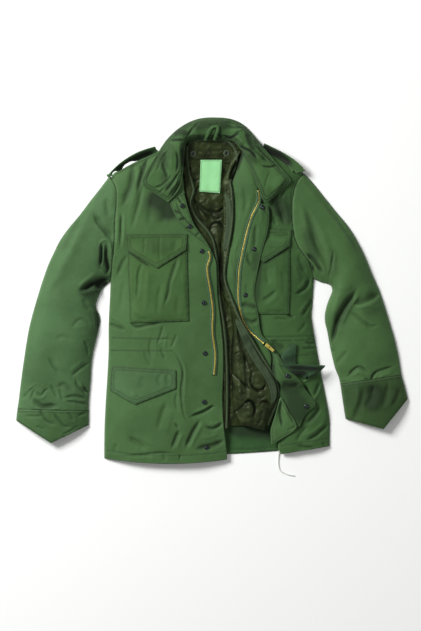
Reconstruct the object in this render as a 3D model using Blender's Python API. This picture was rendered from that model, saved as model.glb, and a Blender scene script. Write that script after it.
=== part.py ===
"""Field jacket laid on its back on a flat surface, front up and open, with its quilted liner.

The origin is on the surface, +X runs to the wearer's left, +Y to the collar and +Z up.
Sizes are millimetres, and mesh_object turns them into metres. Right and left are the wearer's.
"""

import itertools
import math
from collections import namedtuple

import bmesh
import bpy
import numpy as np
from mathutils import Vector
from mathutils.bvhtree import BVHTree

MM = 0.001

# Driving dimensions of the jacket
SHELL = 1.6  # sateen with its lining or facing behind it
HEM = 2.2
LINER = 2.0
PUFF = 5.0
EDGE_PUFF = 2.5  # on the narrow strip of liner beside the right front
GAP = 0.7
SEAM = 0.6
SLEEVE_ACROSS = 12
POCKET_RISE = 2.6
SNAP_WIDTH = 12.0
SNAP_HEIGHT = 2.4
RING_WIDTH = 9.0
RING_HEIGHT = 1.4
TAPE_WIDTH = 13.0
TAPE = 0.8
CHAIN_WIDTH = 5.0
CHAIN = 1.8
CORD_WIDTH = 2.4
LOOP_WIDTH = 7.0
LOOP = 1.2

# Onion quilting: wavy seams in mirrored pairs
ONION_WIDTH = 36.0
ONION_LENGTH = 90.0
ONION_SWAY = 9.0
NECK_BAND = 329.0  # the liner is plain above this line

# The zip slider and its pull tab
SLIDER_PLACE = (138, -138)
SLIDER_TURN = math.radians(-40)
SLIDER_LENGTH = 12.0
SLIDER_WIDTH = 8.0
SLIDER_HEIGHT = 3.0
BRIDGE_LENGTH = 8.0
BRIDGE_WIDTH = 2.0
BRIDGE_POST = 1.4
BRIDGE_CLEAR = 3.0
BRIDGE_TOP = 1.0
TAB_LENGTH = 20.0
TAB_WIDTH = 7.0
TAB_THICKNESS = 1.2
TAB_WINDOW = (7.0, 3.4)
TAB_DROOP = math.radians(6)

OLIVE = (0.079, 0.165, 0.062)
DARK_OLIVE = (0.036, 0.056, 0.024)
PALE_GREEN = (0.27, 0.60, 0.28)
BRASS = (0.62, 0.45, 0.13)
NAVY = (0.02, 0.03, 0.05)
CORD_WHITE = (0.75, 0.78, 0.72)

DOWN = Vector((0, 0, -1))
ABOVE = 500.0
TOPS = {}

# A row runs across a piece from end 1 to end 2: z1, z2 and the crown between them are heights
# of the underside, bow and vee push its middle towards the hem, round or to a point at tip.
Row = namedtuple("Row", "x1 y1 x2 y2 z1 crown z2 bow vee tip", defaults=(0, 0, 0.5))
# A fold is a soft ridge (rise above 0) or trough along a straight line.
Fold = namedtuple("Fold", "x1 y1 x2 y2 width rise")
Spot = namedtuple("Spot", "x y")
# A strap's row gives the place and height of its lower and its upper edge.
StrapRow = namedtuple("StrapRow", "x1 y1 z1 x2 y2 z2")

ARMHOLE_RIGHT = (
    Spot(-256, 286), Spot(-240, 255), Spot(-239, 212), Spot(-243, 167),
    Spot(-244, 121), Spot(-249, 72), Spot(-254, 26),
)
ARMHOLE_LEFT = (
    Spot(255, 29), Spot(250, 52), Spot(240, 75), Spot(226, 95), Spot(212, 116), Spot(204, 145),
    Spot(201, 181), Spot(201, 219), Spot(206, 252), Spot(217, 277), Spot(232, 291),
)

BACK_ROWS = (
    Row(-60, 386, 70, 386, 0, 0, 0),
    Row(-118, 356, 118, 358, 0, 0, 0),
    Row(-188, 323, 172, 330, 0, 0, 0),
    Row(-222, 305, 212, 305, 0, 0, 0),
    Row(-252, 286, 229, 289, 0, 0, 0),
    Row(-236, 257, 200, 256, 0, 0, 0),
    Row(-238, 205, 197, 205, 0, 0, 0),
    Row(-240, 150, 200, 150, 0, 0, 0),
    Row(-242, 112, 207, 112, 0, 0, 0),
    Row(-245, 86, 226, 88, 0, 0, 0),
    Row(-248, 60, 240, 62, 0, 0, 0),
    Row(-251, 28, 252, 28, 0, 0, 0),
    Row(-254, -24, 251, -24, 0, 0, 0),
    Row(-257, -86, 248, -79, 0, 0, 0),
    Row(-257, -149, 260, -144, 0, 0, 0),
    Row(-260, -211, 272, -211, 0, 0, 0),
    Row(-264, -274, 285, -274, 0, 0, 0),
    Row(-267, -336, 293, -336, 0, 0, 0),
    Row(-267, -385, 293, -372, 0, 0, 0),
    Row(-267, -412, 293, -388, 0, 0, 0, 10),
)
FRONT_RIGHT_ROWS = (
    Row(-132, 344, -90, 351, 4, 3, 10),
    Row(-188, 322, -78, 326, 4, 8, 14),
    Row(-222, 304, -75, 301, 4, 12, 18),
    Row(-253, 286, -72, 278, 4.4, 16, 20),
    Row(-236, 260, -70, 256, 15, 8, 20),
    Row(-238, 232, -66, 232, 21.7, 5, 20),
    Row(-240, 190, -56, 192, 22.4, 5, 20),
    Row(-241, 160, -42, 160, 22.2, 5, 19),
    Row(-242, 130, -17, 128, 21.7, 5, 17.5),
    Row(-245, 100, -1, 98, 19.5, 6, 17),
    Row(-247.5, 72, 10, 72, 17, 7, 16.5),
    Row(-251, 48, 12, 48, 11, 12, 16.5),
    Row(-253, 24, 13, 26, 4.4, 17, 16.5),
    Row(-255, -24, 15, -24, 2.4, 18, 16.5),
    Row(-258, -86, 22, -79, 2.4, 18, 16.5),
    Row(-258, -149, 28, -144, 2.4, 15, 16.5),
    Row(-261, -211, 28, -211, 2.4, 17, 16.5),
    Row(-265, -274, 26, -274, 2.4, 17, 16.5),
    Row(-268, -336, 29, -336, 2.4, 15, 16.5),
    Row(-269, -386, 35, -386, 2.4, 13, 12),
    Row(-269, -419, 38, -422, 2.4, 12, 8, 12),
)
FRONT_LEFT_ROWS = (
    Row(88, 351, 130, 354, 10, 3, 4),
    Row(90, 326, 172, 329, 14, 8, 4),
    Row(85, 301, 212, 304, 17, 12, 4),
    Row(79, 281, 229, 289, 18, 16, 4.4),
    Row(75, 266, 214, 280, 17, 14, 12),
    Row(70, 249, 202, 258, 16, 8, 18.5),
    Row(62, 219, 199, 219, 16, 6, 21.2),
    Row(58, 184, 199, 181, 15, 5, 22.3),
    Row(56, 146, 202, 141, 14, 5, 22.4),
    Row(54, 112, 211, 108, 13, 5, 22.3),
    Row(51, 92, 224, 91, 13, 6, 21.2),
    Row(48, 74, 238, 75, 12.5, 8, 18.5),
    Row(46, 50, 247, 51, 12, 12, 12),
    Row(44, 26, 253, 27, 12, 17, 4.4),
    Row(48, -24, 252, -24, 12, 19, 2.4),
    Row(80, -79, 249, -69, 12, 19, 2.4),
    Row(125, -144, 260, -136, 12, 16, 2.4),
    Row(162, -211, 272, -204, 12, 14, 2.4),
    Row(175, -274, 285, -269, 11, 13, 2.4),
    Row(178, -336, 294, -324, 10, 12, 2.4),
    Row(164, -381, 294, -364, 8, 11, 2.4),
    Row(172, -409, 294, -389, 6, 9, 2.4),
)
# A sleeve's or cuff's rows give heights of the outer face; each starts on the wearer's right.
SLEEVE_RIGHT_ROWS = (
    Row(-256, 286, -254, 26, 6, 18, 6),
    Row(-280, 254, -262, 16, 6, 20, 6),
    Row(-310, 216, -270, 9, 6, 22, 6),
    Row(-340, 176, -276, 1, 6, 23, 6),
    Row(-370, 141, -281, -9, 6, 24, 6),
    Row(-390, 104, -286, -21, 6, 25, 6),
    Row(-406, 71, -290, -34, 6, 26, 6),
    Row(-418, 39, -289, -46, 6, 26, 6),
    Row(-428, 9, -282, -61, 6, 26, 6),
    Row(-438, -24, -280, -79, 6, 26, 6),
    Row(-448, -59, -285, -104, 6, 25, 6),
    Row(-459, -104, -292, -134, 6, 25, 6),
    Row(-466, -149, -300, -169, 6, 24, 6),
    Row(-472, -189, -302, -204, 6, 23, 6),
    Row(-478, -234, -305, -241, 6, 22, 6),
    Row(-482, -269, -308, -274, 6, 21, 6),
    Row(-486, -296, -308, -301, 6, 20, 6),
)
SLEEVE_LEFT_ROWS = (
    Row(255, 29, 232, 291, 6, 18, 6),
    Row(265, 24, 260, 259, 6, 20, 6),
    Row(275, 20, 290, 221, 6, 22, 6),
    Row(285, 18, 320, 184, 6, 23, 6),
    Row(295, 14, 345, 154, 6, 24, 6),
    Row(301, 4, 362, 124, 6, 25, 6),
    Row(298, -9, 376, 99, 6, 26, 6),
    Row(291, -26, 389, 69, 6, 26, 6),
    Row(285, -46, 400, 41, 6, 26, 6),
    Row(282, -66, 412, 14, 6, 26, 6),
    Row(284, -86, 422, -11, 6, 25, 6),
    Row(290, -109, 432, -41, 6, 25, 6),
    Row(294, -136, 442, -74, 6, 24, 6),
    Row(300, -161, 452, -106, 6, 23, 6),
    Row(306, -189, 461, -141, 6, 22, 6),
    Row(316, -214, 468, -176, 6, 21, 6),
    Row(321, -234, 473, -211, 6, 20, 6),
)
CUFF_RIGHT_ROWS = (
    Row(-486, -296.5, -308, -301.5, 6, 20, 6),
    Row(-488, -312, -308, -319, 6, 18, 6, 0, 15),
    Row(-489, -325, -308, -336, 5, 14, 5, 0, 51),
)
CUFF_LEFT_ROWS = (
    Row(321.1, -234.5, 473.1, -211.5, 6, 20, 6),
    Row(327, -276, 482, -241, 6, 18, 6, 0, 14),
    Row(334, -321, 489, -271, 5, 14, 5, 0, 53),
)
# The collar's rows run from its outer edge to the neck, from the right leaf's lower edge
# round the back of the neck to the left leaf's tip.
COLLAR_ROWS = (
    Row(-169, 258, -109, 219, 24, 3, 26),
    Row(-174, 274, -98, 231, 20, 8, 28),
    Row(-160, 304, -80, 256, 12, 12, 30),
    Row(-140, 336, -72, 291, 6, 16, 30),
    Row(-120, 368, -70, 326, 4, 20, 26),
    Row(-102, 389, -68, 351, 3, 20, 22),
    Row(-82, 406, -64, 368, 2, 20, 15),
    Row(-55, 422, -52, 375, 1, 20, 9),
    Row(-25, 431, -28, 376, 1, 20, 6),
    Row(8, 432.5, 0, 376, 1, 20, 6),
    Row(42, 430, 28, 376, 1, 20, 6),
    Row(72, 419, 52, 372, 1, 20, 8),
    Row(95, 399, 66, 359, 2, 20, 14),
    Row(118, 371, 78, 339, 3, 20, 20),
    Row(140, 344, 88, 316, 6, 18, 26),
    Row(162, 316, 98, 291, 12, 14, 30),
    Row(182, 294, 108, 269, 20, 10, 32),
    Row(198, 274, 118, 249, 26, 6, 34),
    Row(182, 256, 122, 234, 28, 4, 35),
    Row(162, 239, 128, 224, 30, 3, 36),
    Row(140, 220, 131, 216, 32, 1, 36),
)
LINER_BACK_ROWS = (
    Row(-58, 384, 66, 384, 2.2, 0, 2.2),
    Row(-70, 326, 78, 326, 2.2, 0, 2.2),
    Row(-65, 276, 78, 276, 2.2, 0, 2.2),
    Row(-65, 226, 72, 226, 2.2, 0, 2.2),
    Row(-55, 176, 65, 176, 2.2, 0, 2.2),
    Row(-30, 126, 60, 126, 2.2, 0, 2.2),
    Row(-10, 76, 55, 76, 2.2, 0, 2.2),
    Row(-5, 26, 52, 26, 2.2, 0, 2.2),
    Row(-5, -36, 60, -36, 2.2, 0, 2.2),
    Row(0, -99, 85, -99, 2.2, 0, 2.2),
    Row(2, -174, 130, -174, 2.2, 0, 2.2),
    Row(5, -236, 150, -236, 2.2, 0, 2.2),
    Row(5, -286, 145, -286, 2.2, 0, 2.2),
    Row(5, -339, 125, -339, 2.2, 0, 2.2),
)
LINER_FRONT_RIGHT_ROWS = (
    Row(-80, 361, -61, 361, 8, 0, 8),
    Row(-80, 326, -60, 326, 8, 1, 8),
    Row(-80, 289, -55, 289, 9, 1, 9),
    Row(-78, 256, -42, 251, 10, 1, 10),
    Row(-72, 224, -52, 224, 10, 1, 10),
    Row(-68, 196, -48, 196, 10, 1, 10),
    Row(-55, 169, -28, 169, 10, 1, 10),
    Row(-30, 139, -2, 139, 10, 1, 10),
    Row(-12, 101, 9, 101, 10, 1, 10),
    Row(-8, 51, 16, 51, 10, 1, 10),
    Row(-5, -24, 21, -24, 10, 1, 10),
    Row(0, -99, 34, -99, 10, 1, 10),
    Row(2, -186, 39, -186, 10, 1, 10),
    Row(2, -274, 40, -274, 10, 1, 10),
    Row(5, -349, 38, -349, 10, 1, 10),
)
LINER_FRONT_LEFT_ROWS = (
    Row(56, 350, 70, 347, 9.5, 1, 11),
    Row(48, 328, 62, 328, 9.5, 2, 13),
    Row(28, 276, 44, 281, 9.5, 3, 15),
    Row(28, 251, 49, 256, 9.5, 4, 16),
    Row(28, 204, 52, 204, 9.5, 5, 17),
    Row(28, 156, 50, 156, 9.5, 5, 17),
    Row(22, 111, 41, 111, 9.5, 5, 17),
    Row(20, 69, 34, 69, 9.5, 5, 17),
    Row(20, 29, 32, 29, 9.5, 5, 17),
    Row(30, -11, 47, -11, 9.5, 5, 17),
    Row(46, -50, 60, -50, 9.5, 6, 17),
    Row(52, -99, 85, -97, 9.5, 9, 17),
    Row(50, -124, 98, -119, 9.5, 10, 17),
    Row(48, -174, 130, -171, 9.5, 11, 17),
    Row(49, -224, 160, -221, 9.5, 12, 17),
    Row(51, -256, 168, -251, 9.5, 12, 17),
    Row(54, -286, 164, -281, 9.5, 12, 16),
    Row(60, -311, 150, -306, 9.5, 11, 14),
    Row(70, -334, 140, -329, 9.5, 9, 12),
    Row(84, -339, 130, -349, 9.5, 6, 10),
)
# The facing is the turned-back inner face of the left front, from under the liner's edge to the zip.
FACING_LEFT_ROWS = (
    Row(76, 348, 90, 345, 18, 2, 24),
    Row(68, 322, 96, 322, 18, 4, 26),
    Row(58, 289, 108, 289, 16, 6, 30),
    Row(45, 251, 114.5, 254, 13, 8, 32),
    Row(48, 219, 114.5, 221, 12, 8, 32),
    Row(48, 174, 94.5, 174, 12, 8, 31),
    Row(45, 139, 84.5, 139, 12, 8, 30),
    Row(35, 101, 75.5, 101, 12, 8, 30),
    Row(28, 59, 67.5, 59, 12, 8, 29),
    Row(25, 19, 64.5, 19, 12, 8, 28),
    Row(38, -26, 64.5, -26, 12, 6, 26),
    Row(58, -69, 73.5, -69, 12, 5, 24),
    Row(80, -101, 91.5, -101, 12, 4, 24),
    Row(98, -126, 121.5, -126, 12, 6, 24),
    Row(112, -151, 143.5, -151, 12, 6, 24),
    Row(125, -174, 149, -171, 12, 6, 24),
    Row(136, -194, 148, -191, 12, 5, 22),
    Row(146, -216, 154, -214, 12, 4, 18),
)
# The fly flap lies inner face up from the zip to its snapped edge, is doubled over below the
# zip, and runs on down to the hem.
FLY_LEFT_ROWS = (
    Row(118, 217, 134, 214, 32, 1, 32),
    Row(108, 202, 142, 202, 32, 2, 32),
    Row(91.5, 159, 141, 159, 31, 3, 31),
    Row(81, 116, 130, 116, 31, 3, 31),
    Row(73, 76, 119, 76, 30, 3, 30),
    Row(67, 26, 110, 26, 28, 3, 27),
    Row(67, -14, 106, -11, 26, 3, 25),
    Row(75, -59, 115, -56, 25, 3, 24),
    Row(96, -101, 121, -101, 25, 3, 25),
    Row(115, -119, 131, -118, 25, 3, 25),
    Row(137, -139, 148, -136, 25, 2, 25),
    Row(150, -161, 162, -156, 25, 2, 25),
    Row(151, -179, 175, -176, 27, 3, 27),
    Row(151, -199, 192, -196, 29, 4, 29),
    Row(158, -219, 212, -216, 31, 4, 30),
    Row(172, -235, 225, -231, 31, 4, 30),
    Row(171, -248, 232, -246, 20, 3, 22),
    Row(170, -271, 252, -269, 18, 3, 20),
    Row(182, -291, 260, -286, 18, 3, 19),
    Row(194, -314, 232, -311, 18, 3, 18),
    Row(211, -341, 220, -339, 17, 1, 17),
)
# The same flap's dark middle, twisted up from under the slider.
FLY_FOLD_ROWS = (
    Row(200, -131, 211, -135, 26, 1, 26),
    Row(184, -148, 211, -150, 27, 3, 26),
    Row(167, -172, 209, -172, 28, 4, 26),
    Row(176, -198, 212, -200, 27, 3, 25),
)
HEM_CORNER_ROWS = (
    Row(168, -271, 172, -266, 16, 0, 16),
    Row(164, -289, 182, -284, 16, 2, 16),
    Row(158, -309, 194, -306, 15, 3, 16),
    Row(151, -331, 208, -329, 14, 4, 16),
    Row(146, -351, 210, -346, 13, 4, 16),
    Row(147, -369, 182, -365, 12, 3, 13),
    Row(148, -385, 152, -384, 11, 0, 11),
)
LAPEL_RIGHT_ROWS = (
    Row(-105, 219, -72, 245, 22, 1, 22),
    Row(-98, 199, -64, 222, 22, 2, 22),
    Row(-85, 176, -56, 194, 22, 2, 22),
    Row(-70, 156, -44, 164, 21, 2, 21),
    Row(-50, 141, -30, 144, 20, 2, 20),
    Row(-28, 124, -17, 125, 18, 1, 18),
    Row(-8, 107, -5, 107, 17, 0, 17),
)
CHEST_POCKET_RIGHT_ROWS = (
    Row(-210, 118, -63, 120, 0, 0, 0),
    Row(-209, 40, -61, 40, 0, 0, 0),
    Row(-206, -24, -59, -24, 0, 0, 0),
    Row(-205, -81, -58, -76, 0, 0, 0),
)
CHEST_POCKET_LEFT_ROWS = (
    Row(72, 132, 194, 131, 0, 0, 0),
    Row(71, 71, 194, 71, 0, 0, 0),
    Row(71, 14, 194, 14, 0, 0, 0),
    Row(73, -59, 192, -59, 0, 0, 0),
)
CHEST_FLAP_RIGHT_ROWS = (
    Row(-215, 139, -62, 141, 0, 0, 0),
    Row(-212, 119, -63, 121, 0, 0, 0, 0, 14),
    Row(-210, 99, -65, 101, 0, 0, 0, 0, 45),
)
CHEST_FLAP_LEFT_ROWS = (
    Row(65, 154, 198, 153, 0, 0, 0),
    Row(66, 134, 196, 132, 0, 0, 0, 0, 14),
    Row(68, 114, 194, 111, 0, 0, 0, 0, 43),
)
LOWER_FLAP_RIGHT_ROWS = (
    Row(-250, -189, -90, -199, 0, 0, 0),
    Row(-253, -220, -90, -222, 0, 0, 0, 0, 12, 0.36),
    Row(-254, -250, -90, -244, 0, 0, 0, 0, 37, 0.36),
)
LOWER_FLAP_LEFT_ROWS = (
    Row(163, -182, 283, -187, 28, 2, 22),
    Row(192, -199, 281, -191, 27, 4, 21),
    Row(218, -220, 275, -197, 24, 5, 20),
    Row(226, -230, 271, -201, 20, 2, 19),
)
LABEL_ROWS = (
    Row(-28, 326, 25, 326, 0, 0, 0),
    Row(-31, 247, 20, 243, 0, 0, 0),
)

EPAULETTE_RIGHT_ROWS = (
    StrapRow(-250, 290, 10, -260, 287, 17),
    StrapRow(-222, 309, 9, -229, 316, 26),
    StrapRow(-192, 326, 9, -197, 337, 30),
    StrapRow(-165, 338, 9, -170, 349, 30),
    StrapRow(-139, 350, 9, -141, 358, 24),
)
EPAULETTE_LEFT_ROWS = (
    StrapRow(129, 358, 9, 130, 366, 24),
    StrapRow(170, 335, 9, 177, 342, 28),
    StrapRow(192, 318, 18, 212, 320, 24),
    StrapRow(210, 292, 22, 233, 298, 18),
)

ZIP_RIGHT_PATH = (
    Spot(-9, 98), Spot(-5, 82), Spot(-12, 51), Spot(-3, -9), Spot(2, -54), Spot(1, -104),
    Spot(8, -159), Spot(5, -211),
)
ZIP_LEFT_PATH = (
    Spot(115, 250), Spot(116, 222), Spot(95, 174), Spot(79, 110), Spot(69, 59), Spot(66, 22),
    Spot(66, -24), Spot(75, -69), Spot(93, -101), Spot(110, -116), Spot(130, -133),
)
LOOP_PATH = (
    Spot(-18, 374), Spot(-8, 394), Spot(2, 407), Spot(14, 408), Spot(13, 396), Spot(5, 374),
)
# The hem cord's free end comes out of the hem and curls on the surface.
CORD_PATH = (
    (168, -399, 3.4), (167, -408, 2.2), (166, -422, 1.3), (166, -435, 1.3), (170, -450, 1.3),
    (180, -456, 1.3), (189, -460, 1.3), (197, -462, 1.3), (206, -463, 1.3),
)

SNAPS_RIGHT = (
    Spot(-74, 211), Spot(-55, 159), Spot(-25, 98), Spot(-20, -31), Spot(-17, -157),
    Spot(-19, -278), Spot(-13, -392),
)
SNAPS_LEFT = (Spot(125, 207), Spot(105, 103), Spot(84, -12), Spot(188, -213), Spot(235, -289))
NECK_RINGS = (Spot(-47, 341), Spot(36, 343))

FRONT_RIGHT_FOLDS = (
    Fold(-192, 316, -215, 214, 16, -3),
    Fold(-158, 339, -175, 241, 14, -3),
    Fold(-98, -149, -72, -196, 16, 3),
    Fold(-72, -196, -66, -322, 18, 4),
    Fold(-258, -136, -98, -136, 14, 1.6),
    Fold(-52, -311, 8, -291, 14, -4),
    Fold(-30, -324, -65, -389, 15, -3),
    Fold(-212, -361, -170, -391, 16, -3),
)
FRONT_LEFT_FOLDS = (
    Fold(210, -9, 242, 31, 14, -3),
    Fold(222, -66, 250, -19, 14, 3),
    Fold(128, -119, 260, -119, 14, 1.6),
    Fold(240, -300, 268, -330, 15, -4),
    Fold(225, -330, 215, -395, 15, -3),
)
SLEEVE_RIGHT_FOLDS = (
    Fold(-410, -156, -380, -204, 16, -5),
    Fold(-310, -181, -355, -219, 16, -5),
    Fold(-290, -60, -340, -50, 16, -6),
    Fold(-450, -250, -330, -262, 15, -4),
)
SLEEVE_LEFT_FOLDS = (
    Fold(362, -1, 298, -136, 18, -8),
    Fold(410, -14, 355, -36, 15, -4),
    Fold(338, -54, 415, -89, 16, -5),
    Fold(338, -214, 360, -189, 14, -5),
    Fold(405, -206, 450, -186, 14, -5),
)
COLLAR_FOLDS = (
    Fold(92, 319, 158, 309, 12, -4),
    Fold(20, 376, 50, 421, 14, -6),
    Fold(-60, 376, -70, 410, 12, -4),
)


def clear_scene():
    for item in list(bpy.data.objects):
        bpy.data.objects.remove(item, do_unlink=True)


def finish_material(name, colour, roughness, metallic=0.0):
    material = bpy.data.materials.get(name)
    if material is None:
        material = bpy.data.materials.new(name)
        material.use_nodes = True
        shader = material.node_tree.nodes["Principled BSDF"]
        shader.inputs["Base Color"].default_value = (*colour, 1.0)
        shader.inputs["Roughness"].default_value = roughness
        shader.inputs["Metallic"].default_value = metallic
    return material


def shell_cloth():
    return finish_material("olive_sateen", OLIVE, 0.75)


def liner_cloth():
    return finish_material("quilted_nylon", DARK_OLIVE, 0.55)


def brass():
    return finish_material("brass", BRASS, 0.3, 1.0)


def smooth_through(table, count):
    """The table's columns at count even steps of a smooth curve through its rows."""
    table = np.array(table, float)
    steps = np.linspace(0, len(table) - 1, count)
    first = np.minimum(steps.astype(int), len(table) - 2)
    part = (steps - first)[:, None]
    before = 2 * table[:1] - table[1:2]
    after = 2 * table[-1:] - table[-2:-1]
    padded = np.vstack([before, table, after])
    a, b, c, d = (padded[first + k] for k in range(4))
    curve = 2 * a - 5 * b + 4 * c - d + part * (3 * (b - c) + d - a)
    return b + 0.5 * part * (c - a + part * curve)


def arch(share):
    """0 at both ends of a row and 1 at its middle, with steep sides."""
    return 1 - np.abs(2 * share - 1) ** 3


def fold_rise(x, y, folds):
    rise = np.zeros_like(x)
    for fold in folds:
        run_x = fold.x2 - fold.x1
        run_y = fold.y2 - fold.y1
        along = ((x - fold.x1) * run_x + (y - fold.y1) * run_y) / (run_x**2 + run_y**2)
        along = np.clip(along, 0, 1)
        away = np.hypot(x - fold.x1 - along * run_x, y - fold.y1 - along * run_y)
        rise += fold.rise * np.exp(-((away / fold.width) ** 2))
    return rise


def meet_armhole(edge, seam, side):
    """Brings a panel's edge to the sleeve's first ring, point by point, a seam's width away."""
    ring = smooth_through(seam, SLEEVE_ACROSS)
    ring = ring[np.argsort(ring[:, 1])]
    for place in ring[1:-1]:
        nearest = np.argmin(np.abs(edge[:, 1] - place[1]))
        edge[nearest, 1] = place[1]
    within = (edge[:, 1] > ring[0, 1]) & (edge[:, 1] < ring[-1, 1])
    met = np.interp(edge[:, 1], ring[:, 1], ring[:, 0]) + side * SEAM
    edge[within, 0] = met[within]


def sheet_points(rows, along, shares, folds=(), seam=None, armholes=()):
    """One face of a sheet: along lines down the rows, each with a point at every share across."""
    table = smooth_through(rows, along)
    if "right" in armholes:
        meet_armhole(table[:, 0:2], ARMHOLE_RIGHT, 1)
    if "left" in armholes:
        meet_armhole(table[:, 2:4], ARMHOLE_LEFT, -1)
    table = table[:, :, None]
    x1, y1, x2, y2, z1, crown, z2, bow, vee, tip = (table[:, k] for k in range(10))
    length = np.maximum(np.hypot(x2 - x1, y2 - y1), 1e-6)
    point = np.minimum(shares / tip, (1 - shares) / (1 - tip))
    push = bow * 4 * shares * (1 - shares) + vee * point
    x = x1 + (x2 - x1) * shares + push * (y2 - y1) / length
    y = y1 + (y2 - y1) * shares - push * (x2 - x1) / length
    if seam:
        seam_points = smooth_through(seam, SLEEVE_ACROSS)
        place = np.linspace(0, 1, SLEEVE_ACROSS)
        fade = np.clip(1 - np.arange(along) / 4, 0, 1)[:, None]
        x = x + fade * (np.interp(shares, place, seam_points[:, 0]) - x[0])
        y = y + fade * (np.interp(shares, place, seam_points[:, 1]) - y[0])
    z = z1 + (z2 - z1) * shares + crown * arch(shares)
    edge_fade = np.minimum(1, 4 * arch(shares))
    return np.stack([x, y, z + fold_rise(x, y, folds) * edge_fade], axis=-1)


def grid_faces(along, across, start=0):
    faces = []
    for i in range(along - 1):
        for j in range(across - 1):
            a = start + i * across + j
            faces.append((a, a + 1, a + across + 1, a + across))
    return faces


def rim_of(along, across):
    """Indices of a grid's points once round its edge."""
    last = along * across
    rim = list(range(across))
    rim += list(range(2 * across - 1, last, across))
    rim += list(range(last - 2, last - across - 1, -1))
    rim += list(range(last - 2 * across, 0, -across))
    return rim


def mesh_object(name, points, faces, material):
    mesh = bpy.data.meshes.new(name)
    mesh.from_pydata([tuple(point) for point in np.asarray(points) * MM], [], faces)
    shape = bmesh.new()
    shape.from_mesh(mesh)
    bmesh.ops.recalc_face_normals(shape, faces=shape.faces)
    shape.to_mesh(mesh)
    shape.free()
    mesh.shade_smooth()
    mesh.set_sharp_from_angle(angle=math.radians(50))
    mesh.materials.append(material)
    made = bpy.data.objects.new(name, mesh)
    bpy.context.scene.collection.objects.link(made)
    return made


def note_top(name, points, faces):
    TOPS[name] = BVHTree.FromPolygons([tuple(point) for point in points], faces)


def wall(name, under, thickness, material):
    """A closed cloth wall: its underside, the same points raised by the thickness, and a rim."""
    along, across = under.shape[:2]
    top = under.copy()
    top[:, :, 2] += thickness
    count = along * across
    low_faces = grid_faces(along, across)
    top_faces = grid_faces(along, across, count)
    rim = rim_of(along, across)
    sides = [
        (a, b, b + count, a + count) for a, b in zip(rim, rim[1:] + rim[:1])
    ]
    low_faces = [face[::-1] for face in low_faces]
    points = np.vstack([under.reshape(-1, 3), top.reshape(-1, 3)])
    note_top(name, top.reshape(-1, 3), grid_faces(along, across))
    return mesh_object(name, points, low_faces + top_faces + sides, material)


def height_below(x, y, below, reach):
    """The highest point of the pieces below, at a place and within reach round it."""
    highest = 0.0
    steps = (-reach, 0, reach) if reach else (0,)
    for dx in steps:
        for dy in steps:
            start = Vector((x + dx, y + dy, ABOVE))
            for name in below:
                hit = TOPS[name].ray_cast(start, DOWN)[0]
                if hit is not None:
                    highest = max(highest, hit.z)
    return highest


def lay_on(under, below, reach, gap=GAP):
    """Raises a sheet's underside wherever it would touch the pieces below."""
    for point in under.reshape(-1, 3):
        point[2] = max(point[2], height_below(point[0], point[1], below, reach) + gap)
    return under


def swell(under, rise):
    """Raises the middle of a sheet over all four of its edges."""
    along, across = under.shape[:2]
    down = arch(np.linspace(0, 1, along))[:, None]
    over = arch(np.linspace(0, 1, across))[None, :]
    under[:, :, 2] += rise * down * over
    return under


def panel(name, rows, along, across, thickness=SHELL, folds=(), below=(), reach=8, rise=0, armholes=()):
    """A shell piece that lies on the pieces below it."""
    under = sheet_points(rows, along, np.linspace(0, 1, across), folds, armholes=armholes)
    if below:
        under = lay_on(under, below, reach)
    return wall(name, swell(under, rise), thickness, shell_cloth())


def onion_puff(x, y):
    """The quilting's share of its full height, 0 along its wavy seams."""
    column = np.floor(x / ONION_WIDTH)
    sway = ONION_SWAY * np.sin(2 * np.pi * y / ONION_LENGTH)
    sway = np.where(column % 2 == 0, sway, -sway)
    start = column * ONION_WIDTH + sway
    end = (column + 1) * ONION_WIDTH - sway
    share = np.clip((x - start) / (end - start), 0, 1)
    return np.sin(np.pi * share) ** 0.7


def quilted(name, rows, along, across, below=(), reach=8, height=PUFF):
    """A liner piece: a plain underside and a quilted upper face with flat bound edges."""
    under = sheet_points(rows, along, np.linspace(0, 1, across))
    if below:
        under = lay_on(under, below, reach)
    puff = height * onion_puff(under[:, :, 0], under[:, :, 1])
    puff[under[:, :, 1] > NECK_BAND] = 0
    puff[:, [0, -1]] = 0
    puff[[0, -1], :] = 0
    return wall(name, under, LINER + puff, liner_cloth())


def ring_faces(rings, loop, start):
    faces = []
    for i in range(rings - 1):
        for j in range(loop):
            a = start + i * loop
            k = (j + 1) % loop
            faces.append((a + j, a + k, a + loop + k, a + loop + j))
    return faces


def flat_tube(name, rows, along, across, folds=(), seam=None):
    """A sleeve laid flat: open at both ends, flat underneath and arched on top."""
    shares = np.linspace(0, 1, across)
    outer = sheet_points(rows, along, shares, folds, seam)
    width = np.linalg.norm(outer[:, -1, :2] - outer[:, 0, :2], axis=1).min()
    inset = SHELL / width
    inner = sheet_points(rows, along, inset + (1 - 2 * inset) * shares, folds, seam)
    outer_low = outer.copy()
    outer_low[:, :, 2] = 0
    inner_low = inner.copy()
    inner_low[:, :, 2] = SHELL
    note_top(name, outer.reshape(-1, 3), grid_faces(along, across))
    inner[:, :, 2] -= SHELL
    outer_loop = np.concatenate([outer, outer_low[:, ::-1]], axis=1)
    inner_loop = np.concatenate([inner, inner_low[:, ::-1]], axis=1)
    loop = 2 * across
    count = along * loop
    faces = ring_faces(along, loop, 0)
    faces += [face[::-1] for face in ring_faces(along, loop, count)]
    for ring in (0, count - loop):
        for j in range(loop):
            k = (j + 1) % loop
            faces.append((ring + j, ring + k, ring + count + k, ring + count + j))
    points = np.vstack([outer_loop.reshape(-1, 3), inner_loop.reshape(-1, 3)])
    return mesh_object(name, points, faces, shell_cloth())


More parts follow.
